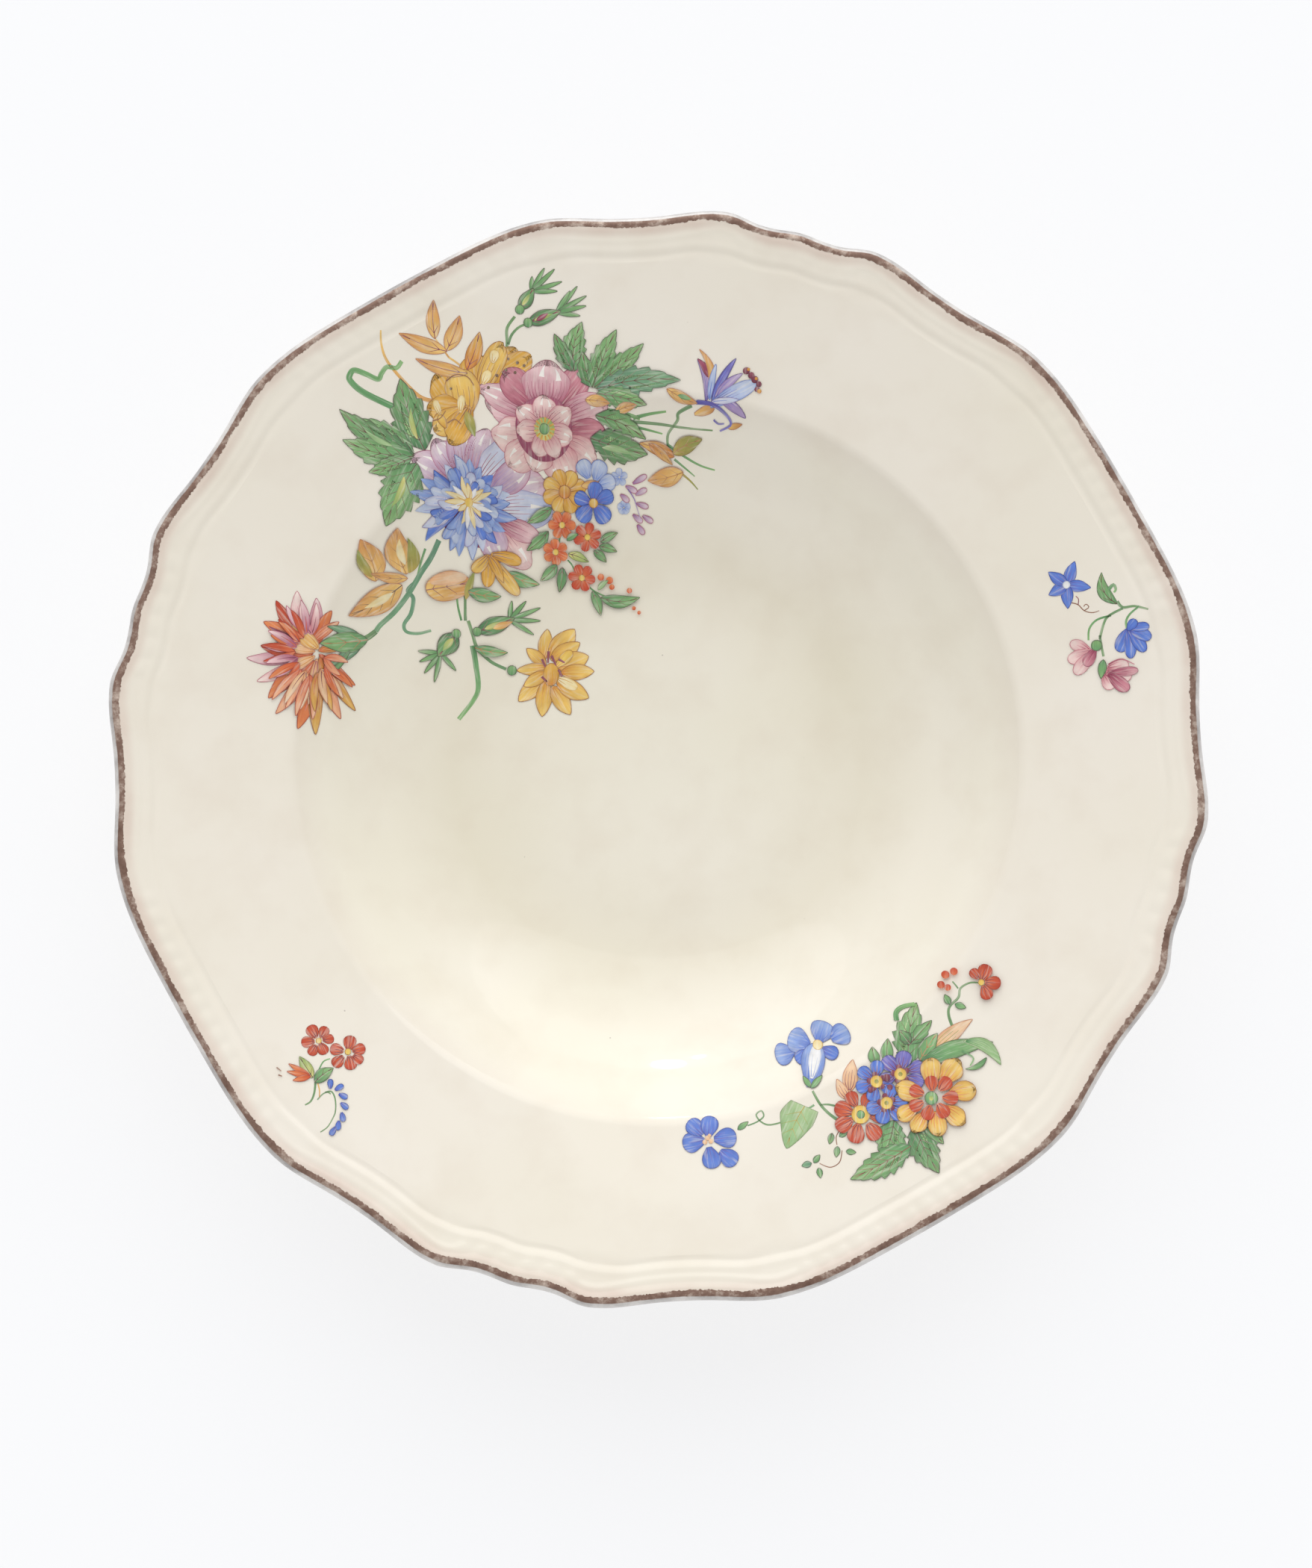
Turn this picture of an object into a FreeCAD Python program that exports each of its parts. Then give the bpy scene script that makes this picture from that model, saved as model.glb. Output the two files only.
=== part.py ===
import FreeCAD, Part
import math
import os

import Sketcher
from FreeCAD import Vector

# A rimmed serving bowl in glazed earthenware, standing on its foot ring.
# Origin: centre of the foot ring, on the table. +Z: up, out of the bowl. Millimetres and degrees.

# alias, value, meaning
DIMENSIONS = [
    ("rim_radius", 119.0, "mean radius of the lobed rim"),
    ("blank_radius", 124.0, "radius of the round blank before the lobes are cut"),
    ("lip_radius", 80.0, "radius where the flange turns down into the well"),
    ("floor_radius", 55.0, "radius where wall and floor would meet without their curve"),
    ("floor_height", 10.0, "height of the glazed floor of the well above the table"),
    ("wall_slope", 44.0, "slope of the well's wall"),
    ("rim_slope", 13.0, "slope of the flange"),
    ("wall_thick", 4.2, "thickness of the glazed wall, square to its face"),
    ("floor_curve", 50.0, "radius between floor and wall"),
    ("lip_curve", 4.5, "radius of the lip, face side"),
    ("lip_under", 6.0, "radius under the lip, back side"),
    ("rim_round", 1.7, "rounding of the rim's edge, face and back"),
    ("foot_outer", 54.0, "outer radius of the foot ring"),
    ("foot_inner", 49.5, "inner radius of the foot ring"),
    ("foot_taper", 0.6, "how far the bare end of the foot ring narrows on each side"),
    ("foot_wiped", 1.2, "height of the unglazed end of the foot ring"),
    ("glaze", 0.3, "thickness of the glaze coat"),
    ("lining_outer", 2.1, "distance from the rim's edge to the outside of the metal lining"),
    ("lining_inner", 3.4, "distance from the rim's edge to the inside of the metal lining"),
    ("enamel", 0.1, "thickness of the printed enamels and the metal lining over the glaze"),
    ("column_top", 60.0, "height of the upright columns that the transfers are cut with"),
    ("lobe_turn", 74.6, "angle of a small lobe's middle from +X"),
]

# One eighth of the rim, from the middle of a small lobe to the middle of the long side that
# faces the next one: degrees from the small lobe, and millimetres out from rim_radius.
LOBES = [(0.0, -0.2), (3.2, -0.6), (8.3, 1.2), (18.0, -0.9), (28.3, 1.2), (45.0, -1.0)]
LOBE_POINT = 1.15        # above 1 the lobes are narrower than the hollows between them
LOBE_STEPS = 3           # points of the rim's curve between one crest and the next hollow

# What each transfer prints, as round patches: x, y and radius.
BOUQUET = [
    (-25.5, 73.5, 13.5),     # rose
    (-39.5, 55.0, 15.0),     # peony with the blue aster
    (-37.5, 81.5, 10.0),     # gold pompon
    (-58.5, 67.0, 11.0),     # leaves on the left
    (-7.5, 82.0, 12.0),      # leaves on the right
    (-24.0, 99.0, 8.0),      # two green buds
    (-47.0, 93.5, 8.0),      # gold spray
    (14.0, 79.0, 8.5),       # honeysuckle
    (-14.5, 58.0, 9.5),      # small yellow and blue flowers
    (-15.0, 42.0, 10.5),     # scarlet verbena
    (-60.0, 43.0, 9.0),      # gold leaves
    (-78.0, 20.5, 12.5),     # carnation
    (-37.0, 25.5, 11.5),     # green buds on the wall
    (-22.5, 18.0, 8.0),      # yellow dahlia
    (-27.0, 90.0, 5.5),      # stems of the two green buds
    (4.0, 79.5, 6.0),        # stem of the honeysuckle
    (-66.0, 31.0, 6.5),      # stem of the carnation
    (-50.0, 48.0, 6.0),      # stem of the gold leaves
    (-27.0, 33.0, 7.0),      # stems down the wall
]
POSY = [
    (47.0, -74.5, 9.5),      # red and violet primulas
    (60.5, -73.0, 8.0),      # gold and red zinnia
    (34.5, -66.0, 8.5),      # blue morning glory
    (12.5, -83.0, 6.5),      # blue flower
    (52.5, -88.5, 8.5),      # leaves
    (31.0, -80.0, 7.5),      # green heart leaf and tendril
    (21.5, -81.0, 6.0),      # stem of the blue flower
    (64.0, -58.5, 9.0),      # curled leaf
    (68.5, -48.5, 6.5),      # scarlet buds
]
BLUEBELL_SPRIG = [
    (89.0, 37.5, 5.5),       # blue star
    (99.5, 32.5, 7.5),       # leaf and stems
    (101.5, 26.0, 5.5),      # bluebell
    (93.5, 20.5, 6.5),       # pink bud
    (101.0, 17.0, 5.5),      # second pink bud
]
SCARLET_SPRIG = [
    (-72.5, -60.0, 5.5),     # scarlet flower
    (-66.5, -64.0, 6.0),     # second scarlet flower
    (-74.0, -70.5, 6.0),     # leaves
    (-69.5, -77.0, 7.0),     # blue leaflets
]
TRANSFERS = {
    "bouquet_transfer": BOUQUET,
    "posy_transfer": POSY,
    "bluebell_sprig_transfer": BLUEBELL_SPRIG,
    "scarlet_sprig_transfer": SCARLET_SPRIG,
}


def add_dimensions(doc):
    """The driving dimensions, one to a row, each with its meaning beside it."""
    sheet = doc.addObject("Spreadsheet::Sheet", "Dimensions")
    for row, (alias, value, meaning) in enumerate(DIMENSIONS, start=1):
        sheet.set(f"A{row}", meaning)
        sheet.set(f"B{row}", str(value))
        sheet.setAlias(f"B{row}", alias)
    doc.recompute()
    return sheet


def attach(body, sketch, plane_role):
    """Puts a sketch on one of its body's own origin planes."""
    plane = [f for f in body.Origin.OriginFeatures if f.Role == plane_role][0]
    sketch.AttachmentSupport = [(plane, "")]
    sketch.MapMode = "FlatFace"


def closed_section(sketch, corners):
    """A closed outline of straight lines whose corners are (x, y) pairs of sheet expressions."""
    first_guess = [Vector(10 + 5 * math.cos(k), 10 + 5 * math.sin(k), 0) for k in range(len(corners))]
    for k in range(len(corners)):
        sketch.addGeometry(Part.LineSegment(first_guess[k], first_guess[(k + 1) % len(corners)]), False)
    for k, (x, y) in enumerate(corners):
        sketch.addConstraint(Sketcher.Constraint("Coincident", k - 1 if k else len(corners) - 1, 2, k, 1))
        for axis, size in (("DistanceX", x), ("DistanceY", y)):
            if size == "0":
                other = -2 if axis == "DistanceX" else -1
                sketch.addConstraint(Sketcher.Constraint("PointOnObject", k, 1, other))
                continue
            number = sketch.addConstraint(Sketcher.Constraint(axis, -1, 1, k, 1, 10.0))
            sketch.setExpression(f"Constraints[{number}]", size)


def face_corners(depth):
    """Corners of a surface lying depth under the glazed face, floor to blank edge."""
    middle = "(Dimensions.wall_slope + Dimensions.rim_slope) / 2"
    half_turn = "(Dimensions.wall_slope - Dimensions.rim_slope) / 2"
    lip_height = ("Dimensions.floor_height + (Dimensions.lip_radius - Dimensions.floor_radius)"
                  " * tan(Dimensions.wall_slope)")
    edge_height = (f"{lip_height} + (Dimensions.blank_radius - Dimensions.lip_radius)"
                   " * tan(Dimensions.rim_slope)")
    return [
        ("0", f"Dimensions.floor_height - ({depth})"),
        (f"Dimensions.floor_radius + ({depth}) * tan(Dimensions.wall_slope / 2)",
         f"Dimensions.floor_height - ({depth})"),
        (f"Dimensions.lip_radius + ({depth}) * sin({middle}) / cos({half_turn})",
         f"{lip_height} - ({depth}) * cos({middle}) / cos({half_turn})"),
        ("Dimensions.blank_radius", f"{edge_height} - ({depth}) / cos(Dimensions.rim_slope)"),
    ]


def circle_edges(shape, radius, height, near=0.6):
    """Names of the round edges about Z at that radius and height."""
    found = []
    for number, edge in enumerate(shape.Edges, start=1):
        if not isinstance(edge.Curve, Part.Circle):
            continue
        centre = edge.Curve.Center
        about_z = math.hypot(centre.x, centre.y) < 0.01
        if about_z and abs(edge.Curve.Radius - radius) < near and abs(centre.z - height) < near:
            found.append(f"Edge{number}")
    return found


def lobed_edges(shape, least_radius):
    """Names of the sharp edges that follow the lobed rim, on the face and on the back."""
    found = []
    for number, edge in enumerate(shape.Edges, start=1):
        start = edge.Vertexes[0].Point
        if math.hypot(start.x, start.y) > least_radius and edge.Length > 50.0:
            found.append(f"Edge{number}")
    return found


def rim_offset(degrees_round):
    """How far the rim stands out from rim_radius at an angle from a small lobe's middle."""
    turned = abs((degrees_round + 45.0) % 90.0 - 45.0)
    for (start, low), (end, high) in zip(LOBES, LOBES[1:]):
        if turned <= end:
            share = (turned - start) / (end - start)
            if low > high:
                return high + (low - high) * eased(1.0 - share)
            return low + (high - low) * eased(share)
    return LOBES[-1][1]


def eased(share):
    """0 in a hollow to 1 on a crest, level at both ends."""
    return (1.0 - math.cos(math.pi * share ** LOBE_POINT)) / 2.0


def rim_points(sheet, inset):
    """Points of the lobed rim, moved in by inset."""
    eighth = []
    for (start, _), (end, _) in zip(LOBES, LOBES[1:]):
        eighth += [start + (end - start) * k / LOBE_STEPS for k in range(LOBE_STEPS)]
    quarter = eighth + [45.0] + [90.0 - a for a in reversed(eighth[1:])]
    points = []
    for turn in range(4):
        for angle in quarter:
            radius = sheet.rim_radius + rim_offset(angle) - inset
            at = math.radians(sheet.lobe_turn + angle + 90.0 * turn)
            points.append(Vector(radius * math.cos(at), radius * math.sin(at), 0))
    return points


def rim_curve(sheet, inset):
    """The closed curve of the lobed rim, moved in by inset."""
    curve = Part.BSplineCurve()
    curve.interpolate(rim_points(sheet, inset), PeriodicFlag=True)
    return curve


def lip_height(sheet):
    """Height of the lip, where flange and wall would meet without their curve."""
    rise = math.tan(math.radians(sheet.wall_slope))
    return sheet.floor_height + (sheet.lip_radius - sheet.floor_radius) * rise


def add_vessel(doc, sheet, name, inset, inset_value, bare_foot):
    """The whole bowl as one body, its skin moved in by inset: an expression, and its value.

    A bare foot reaches the table. A glazed form stops where the glaze has been wiped off the foot.
    """
    back = f"Dimensions.wall_thick - ({inset})"
    back_value = sheet.wall_thick - inset_value
    half_slope = math.tan(math.radians(sheet.wall_slope / 2))
    body = doc.addObject("PartDesign::Body", name)

    section = body.newObject("Sketcher::SketchObject", f"{name}_section")
    attach(body, section, "XZ_Plane")
    closed_section(section, face_corners(inset) + face_corners(back)[::-1])
    turned = body.newObject("PartDesign::Revolution", f"{name}_turned")
    turned.Profile = section
    turned.ReferenceAxis = (section, ["V_Axis"])
    turned.Angle = 360.0
    doc.recompute()

    trim = body.newObject("Sketcher::SketchObject", f"{name}_lobes")
    attach(body, trim, "XY_Plane")
    trim.addGeometry(rim_curve(sheet, inset_value), False)
    trim.addGeometry(Part.Circle(Vector(0, 0, 0), Vector(0, 0, 1), sheet.blank_radius + 5.0), False)
    trimmed = body.newObject("PartDesign::Pocket", f"{name}_trimmed")
    trimmed.Profile = trim
    trimmed.Type = "ThroughAll"
    trimmed.Reversed = True
    doc.recompute()
    if trimmed.Shape.Volume > turned.Shape.Volume - 1.0:
        raise RuntimeError(f"{name}: the lobes cut nothing")

    rounds = [
        ("floor", f"Dimensions.floor_curve + ({inset})",
         sheet.floor_radius, sheet.floor_height - inset_value),
        ("wall_back", f"Dimensions.floor_curve + ({back})",
         sheet.floor_radius + back_value * half_slope, sheet.floor_height - back_value),
        ("lip", f"Dimensions.lip_curve - ({inset})", sheet.lip_radius, lip_height(sheet) - inset_value),
        ("lip_back", f"Dimensions.lip_under + ({inset})",
         sheet.lip_radius + back_value / 2, lip_height(sheet) - back_value),
    ]
    last = trimmed
    edges = lobed_edges(last.Shape, 0.9 * sheet.rim_radius)
    last = add_round(body, last, f"{name}_edge_round", edges, f"Dimensions.rim_round - ({inset})")
    for what, size, radius, height in rounds:
        edges = circle_edges(last.Shape, radius, height)
        last = add_round(body, last, f"{name}_{what}_round", edges, size)

    foot_section = body.newObject("Sketcher::SketchObject", f"{name}_foot_section")
    attach(body, foot_section, "XZ_Plane")
    foot_out = f"Dimensions.foot_outer - ({inset})"
    foot_in = f"Dimensions.foot_inner + ({inset})"
    foot_top = "Dimensions.floor_height + Dimensions.glaze"
    foot = [(foot_out, "Dimensions.foot_wiped"), (foot_out, foot_top),
            (foot_in, foot_top), (foot_in, "Dimensions.foot_wiped")]
    if bare_foot:
        foot += [(f"{foot_in} + Dimensions.foot_taper", "0"), (f"{foot_out} - Dimensions.foot_taper", "0")]
    closed_section(foot_section, foot)
    foot = body.newObject("PartDesign::Revolution", f"{name}_foot")
    foot.Profile = foot_section
    foot.ReferenceAxis = (foot_section, ["V_Axis"])
    foot.Angle = 360.0
    doc.recompute()
    body.Tip = foot
    return body


def add_round(body, base, name, edges, size):
    """Rounds the named edges of a feature with a radius from the sheet."""
    if not edges:
        raise RuntimeError(f"{name}: no edge to round")
    rounded = body.newObject("PartDesign::Fillet", name)
    rounded.Base = (base, edges)
    rounded.setExpression("Radius", size)
    body.Document.recompute()
    if rounded.Shape.isNull():
        raise RuntimeError(f"{name}: the rounding failed")
    return rounded


def add_face_band(doc, sheet, name):
    """The layer on the face, enamel thick, that the printed transfers are cut from."""
    body = doc.addObject("PartDesign::Body", name)
    section = body.newObject("Sketcher::SketchObject", f"{name}_section")
    attach(body, section, "XZ_Plane")
    closed_section(section, face_corners("-Dimensions.enamel") + face_corners("0")[::-1])
    turned = body.newObject("PartDesign::Revolution", f"{name}_turned")
    turned.Profile = section
    turned.ReferenceAxis = (section, ["V_Axis"])
    turned.Angle = 360.0
    doc.recompute()
    last = turned
    for what, curve, sign, radius, height in (
        ("floor", "Dimensions.floor_curve", "-", sheet.floor_radius, sheet.floor_height),
        ("lip", "Dimensions.lip_curve", "+", sheet.lip_radius, lip_height(sheet)),
    ):
        sides = [("bottom", curve, 0.0), ("top", f"{curve} {sign} Dimensions.enamel", -sheet.enamel)]
        for side, size, depth in sides:
            edges = circle_edges(last.Shape, radius, height - depth, near=sheet.enamel / 2)
            last = add_round(body, last, f"{name}_{what}_{side}", edges, size)
    body.Tip = last
    return body


def add_lining(doc, sheet, name):
    """The metal line on the flange, a thin band between two lobed curves that lie on the flange."""
    curves = {}
    for lift in (0.0, sheet.enamel):
        for inset in (sheet.lining_outer, sheet.lining_inner):
            points = []
            for p in rim_points(sheet, inset):
                across = math.hypot(p.x, p.y) - sheet.lip_radius
                height = lip_height(sheet) + across * math.tan(math.radians(sheet.rim_slope))
                points.append(Vector(p.x, p.y, height + lift / math.cos(math.radians(sheet.rim_slope))))
            curve = Part.BSplineCurve()
            curve.interpolate(points, PeriodicFlag=True)
            curves[lift, inset] = curve.toShape()
    pairs = [
        ((0.0, sheet.lining_outer), (0.0, sheet.lining_inner)),
        ((0.0, sheet.lining_inner), (sheet.enamel, sheet.lining_inner)),
        ((sheet.enamel, sheet.lining_inner), (sheet.enamel, sheet.lining_outer)),
        ((sheet.enamel, sheet.lining_outer), (0.0, sheet.lining_outer)),
    ]
    faces = [Part.makeRuledSurface(curves[one], curves[other]) for one, other in pairs]
    return add_stitched(doc, name, faces)


def add_columns(doc, name, patches):
    """The round patches of one transfer joined into one upright column."""
    columns = []
    for number, (x, y, radius) in enumerate(patches, start=1):
        column = doc.addObject("Part::Cylinder", f"{name}_{number}")
        column.Radius = radius
        column.setExpression("Height", "Dimensions.column_top")
        column.Placement.Base = Vector(x, y, 0)
        columns.append(column)
    joined = doc.addObject("Part::MultiFuse", name)
    joined.Shapes = columns
    return joined


def add_stitched(doc, name, faces):
    """A solid whose skin is the given faces, which meet edge to edge."""
    skin = Part.Compound(faces)
    skin.sewShape()
    solid = Part.makeSolid(skin.Shells[0])
    if solid.Volume < 0:
        solid.reverse()
    if not solid.isClosed() or not solid.isValid():
        raise RuntimeError(f"{name}: the skin does not close")
    feature = doc.addObject("Part::Feature", name)
    feature.Shape = solid
    return feature


def radii(face):
    return [math.hypot(v.Point.x, v.Point.y) for v in face.Vertexes]


def heights(face):
    return [v.Point.z for v in face.Vertexes]


def is_level(face, height):
    return max(heights(face)) - min(heights(face)) < 1e-4 and abs(heights(face)[0] - height) < 1e-4


def foot_join(sheet, glazed, biscuit, radius, inset):
    """The narrow level ring of glaze round the foot, where the wiping stopped."""
    wires = []
    for shape, size in ((glazed, radius), (biscuit, radius + inset)):
        names = circle_edges(shape, size, sheet.foot_wiped, near=0.01)
        wires.append(Part.Wire([shape.getElement(names[0])]))
    wires.sort(key=lambda wire: -wire.BoundBox.DiagonalLength)
    return Part.makeFace(wires, "Part::FaceMakerBullseye")


def main():
    doc = FreeCAD.newDocument("serving_bowl")
    sheet = add_dimensions(doc)
    biscuit_body = add_vessel(doc, sheet, "biscuit_body", "Dimensions.glaze", sheet.glaze, True)
    glazed_form = add_vessel(doc, sheet, "glazed_form", "0", 0.0, False)
    biscuit, glazed = biscuit_body.Shape, glazed_form.Shape

    # The glaze is what lies between the two forms. The bare foot parts it in two.
    recess_top = sheet.floor_height - sheet.wall_thick / 4
    recess_radius = sheet.foot_inner + sheet.glaze + 0.01
    bare = [f for f in biscuit.Faces if min(heights(f)) < sheet.foot_wiped - 0.1]
    under, over = [], []
    for face in glazed.Faces + biscuit.Faces:
        if is_level(face, sheet.foot_wiped) or any(face.isSame(other) for other in bare):
            continue
        in_recess = max(radii(face)) < recess_radius and max(heights(face)) < recess_top
        (under if in_recess else over).append(face)
    under.append(foot_join(sheet, glazed, biscuit, sheet.foot_inner, sheet.glaze))
    over.append(foot_join(sheet, glazed, biscuit, sheet.foot_outer, -sheet.glaze))
    base_glaze = add_stitched(doc, "base_glaze", under)
    glaze_coat = add_stitched(doc, "glaze_coat", over)

    rim_lining = add_lining(doc, sheet, "rim_lining")

    # The printed transfers are cut from one thin layer over the glazed face.
    face_band = add_face_band(doc, sheet, "face_band")
    transfers = []
    for name, patches in TRANSFERS.items():
        transfer = doc.addObject("Part::Common", name)
        transfer.Base = face_band
        transfer.Tool = add_columns(doc, f"{name}_column", patches)
        transfers.append(transfer)
    doc.recompute()

    check_features(doc)
    os.makedirs("parts", exist_ok=True)
    for node in [biscuit_body, glaze_coat, base_glaze, rim_lining] + transfers:
        node.Label = node.Name
        node.Shape.exportStep(f"parts/{node.Name}.step")
        print(node.Name, len(node.Shape.Solids), round(node.Shape.Volume, 1), node.Shape.BoundBox)


def check_features(doc):
    """Stops the build when any feature failed to compute or holds a bad shape."""
    for feature in doc.Objects:
        if "Invalid" in feature.State or "Error" in feature.State:
            raise RuntimeError(f"{feature.Name} did not compute")
        if hasattr(feature, "Shape") and feature.TypeId.startswith(("Part::", "PartDesign::")):
            if feature.Shape.isNull() or not feature.Shape.isValid():
                raise RuntimeError(f"{feature.Name} has a bad shape")


main()
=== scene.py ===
import math

import bmesh
import bpy
from mathutils import Matrix, Vector, noise


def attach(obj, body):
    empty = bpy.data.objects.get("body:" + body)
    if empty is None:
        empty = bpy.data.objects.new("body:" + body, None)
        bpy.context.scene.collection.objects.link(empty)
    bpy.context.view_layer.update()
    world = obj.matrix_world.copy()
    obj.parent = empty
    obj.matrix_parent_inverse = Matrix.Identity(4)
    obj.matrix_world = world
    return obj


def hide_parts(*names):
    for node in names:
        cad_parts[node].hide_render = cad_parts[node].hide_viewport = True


# A rimmed serving bowl in cream glazed earthenware with printed and tinted flowers.
# The bowl's sizes are millimetres, and MM turns them into metres. The stage is in metres.

MM = 0.001
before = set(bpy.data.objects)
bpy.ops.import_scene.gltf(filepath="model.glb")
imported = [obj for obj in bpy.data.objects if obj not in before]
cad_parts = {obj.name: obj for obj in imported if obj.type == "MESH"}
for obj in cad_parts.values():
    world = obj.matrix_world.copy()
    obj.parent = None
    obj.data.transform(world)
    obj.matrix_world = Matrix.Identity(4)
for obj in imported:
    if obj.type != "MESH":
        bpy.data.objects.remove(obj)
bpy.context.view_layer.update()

# ---------------------------------------------------------------- the bowl's shape

RIM_RADIUS = 119.0
LIP_RADIUS, FLOOR_RADIUS, FLOOR_HEIGHT = 80.0, 55.0, 10.0
WALL_SLOPE, RIM_SLOPE = math.radians(44.0), math.radians(13.0)
FLOOR_CURVE, LIP_CURVE = 50.0, 4.5
THICK = 4.2
NOSE = 1.75              # radius of the rolled edge
FOOT_OUTER, FOOT_WIPED = 54.0, 1.2
LOBE_TURN = 74.6         # degrees from +X to the middle of a small lobe
# Degrees from the middle of a small lobe, and how far the edge stands out there.
LOBES = [(0.0, -0.2), (3.2, -0.6), (8.3, 1.2), (18.0, -0.9), (28.3, 1.2), (45.0, -1.0)]
LOBE_POINT = 1.15        # above 1, the lobes' outward ends are sharper
LOBE_HIGHS = (8.3, 28.3)
BORDER = 11.0            # width of the moulded border, which alone follows the lobes
LIP_HEIGHT = FLOOR_HEIGHT + (LIP_RADIUS - FLOOR_RADIUS) * math.tan(WALL_SLOPE)

# The moulding's ridges and hollow: distance in from the edge, its change at a lobe's high, width, height.
RIDGES = [(2.9, -0.5, 0.8, 0.10), (7.2, 0.6, 0.9, 0.08), (8.7, 0.7, 0.8, -0.16)]
BEAD_LINE, BEAD_HEIGHT, FILLET_HEIGHT = 5.2, 0.13, 0.07
SIDE_PITCH, CLUSTER_PITCH = 2.1, 2.48     # degrees from bead to bead

BORDER_STEPS, FACE_STEPS, BACK_STEPS, LINING_STEPS = 1200, 600, 360, 2400


def smooth(low, high, x):
    """0 below low, 1 above high, eased between."""
    t = min(1.0, max(0.0, (x - low) / (high - low)))
    return t * t * (3.0 - 2.0 * t)


def turn_in_lobe(angle):
    """Degrees from the nearest small lobe's middle, 0 to 45, for an angle in radians."""
    return abs((math.degrees(angle) - LOBE_TURN + 45.0) % 90.0 - 45.0)


def rim_offset(angle):
    """How far the lobed edge stands out from RIM_RADIUS."""
    turned = turn_in_lobe(angle)
    for (start, low), (end, high) in zip(LOBES, LOBES[1:]):
        if turned <= end:
            share = (turned - start) / (end - start)
            if low > high:
                low, high, share = high, low, 1.0 - share
            return low + (high - low) * (1.0 - math.cos(math.pi * share ** LOBE_POINT)) / 2.0
    return LOBES[-1][1]


def face_z(r):
    """Height of the plain glazed face at a radius."""
    floor_start = FLOOR_RADIUS - FLOOR_CURVE * math.tan(WALL_SLOPE / 2)
    if r <= floor_start:
        return FLOOR_HEIGHT
    if r < floor_start + FLOOR_CURVE * math.sin(WALL_SLOPE):
        return FLOOR_HEIGHT + FLOOR_CURVE - math.sqrt(FLOOR_CURVE ** 2 - (r - floor_start) ** 2)
    tangent = LIP_CURVE * math.tan((WALL_SLOPE - RIM_SLOPE) / 2)
    lip_end = LIP_RADIUS + tangent * math.cos(RIM_SLOPE)
    if r < LIP_RADIUS - tangent * math.cos(WALL_SLOPE):
        return FLOOR_HEIGHT + (r - FLOOR_RADIUS) * math.tan(WALL_SLOPE)
    if r < lip_end:
        centre_r = lip_end + LIP_CURVE * math.sin(RIM_SLOPE)
        centre_z = LIP_HEIGHT + tangent * math.sin(RIM_SLOPE) - LIP_CURVE * math.cos(RIM_SLOPE)
        return centre_z + math.sqrt(LIP_CURVE ** 2 - (r - centre_r) ** 2)
    return LIP_HEIGHT + (r - LIP_RADIUS) * math.tan(RIM_SLOPE)


def face_normal(r):
    """(outward, up) of the face's normal at a radius."""
    slope = (face_z(r + 0.05) - face_z(r - 0.05)) / 0.1
    size = math.hypot(slope, 1.0)
    return -slope / size, 1.0 / size


def back_point(r):
    """The point of the back that lies THICK under the face at radius r."""
    out, up = face_normal(r)
    return r - out * THICK, face_z(r) - up * THICK


def relief(across, angle):
    """Height of the moulded border at a distance in from the edge."""
    turned = turn_in_lobe(angle)
    near, far = LOBE_HIGHS
    crest = max(math.exp(-((turned - near) / 2.6) ** 2), math.exp(-((turned - far) / 2.8) ** 2))
    height = 0.0
    for middle, change, width, tall in RIDGES:
        height += tall * math.exp(-((across - (middle + change * crest)) / width) ** 2)
    side = smooth(29.5, 31.5, turned)
    cluster = 1.0 - smooth(6.2, 7.6, turned)
    plain = (1.0 - side) * (1.0 - cluster)
    height += plain * FILLET_HEIGHT * math.exp(-((across - BEAD_LINE + 0.9 * crest) / 0.7) ** 2)
    for share, pitch, start in ((side, SIDE_PITCH, 45.0), (cluster, CLUSTER_PITCH, 0.0)):
        if share > 0.0:
            phase = ((turned - start) / pitch) % 1.0
            bead = math.sin(math.pi * phase) ** 1.2 * math.exp(-abs((across - BEAD_LINE) / 1.6) ** 2)
            height += share * BEAD_HEIGHT * bead
    return height


# ---------------------------------------------------------------- materials

def linear(value):
    value /= 255.0
    return value / 12.92 if value <= 0.04045 else ((value + 0.055) / 1.055) ** 2.4


def rgb(red, green, blue):
    return (linear(red), linear(green), linear(blue), 1.0)


def new_material(name):
    material = bpy.data.materials.new(name)
    material.use_nodes = True
    tree = material.node_tree
    return material, tree, tree.nodes["Principled BSDF"]


def add_node(tree, kind, inputs=None, **settings):
    node = tree.nodes.new(kind)
    for key, value in settings.items():
        setattr(node, key, value)
    for key, value in (inputs or {}).items():
        if isinstance(value, bpy.types.NodeSocket):
            tree.links.new(value, node.inputs[key])
        else:
            node.inputs[key].default_value = value
    return node


def add_ramp(tree, source, stops):
    ramp = add_node(tree, "ShaderNodeValToRGB", {"Fac": source})
    while len(ramp.color_ramp.elements) < len(stops):
        ramp.color_ramp.elements.new(0.5)
    for element, (place, colour) in zip(ramp.color_ramp.elements, stops):
        element.position = place
        element.color = colour
    return ramp.outputs["Color"]


def grey(value):
    return (value, value, value, 1.0)


def mix_colour(tree, share, one, other, blend="MIX"):
    node = add_node(tree, "ShaderNodeMix", data_type="RGBA", blend_type=blend)
    for number, value in ((0, share), (6, one), (7, other)):
        if isinstance(value, bpy.types.NodeSocket):
            tree.links.new(value, node.inputs[number])
        else:
            node.inputs[number].default_value = value
    return node.outputs[2]


def new_group(name, outputs):
    group = bpy.data.node_groups.new(name, "ShaderNodeTree")
    for title, kind in outputs:
        group.interface.new_socket(title, in_out="OUTPUT", socket_type=kind)
    return group, group.nodes.new("NodeGroupOutput")


COLOUR, VALUE = "NodeSocketColor", "NodeSocketFloat"
CREAM = rgb(240, 233, 220)


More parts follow.
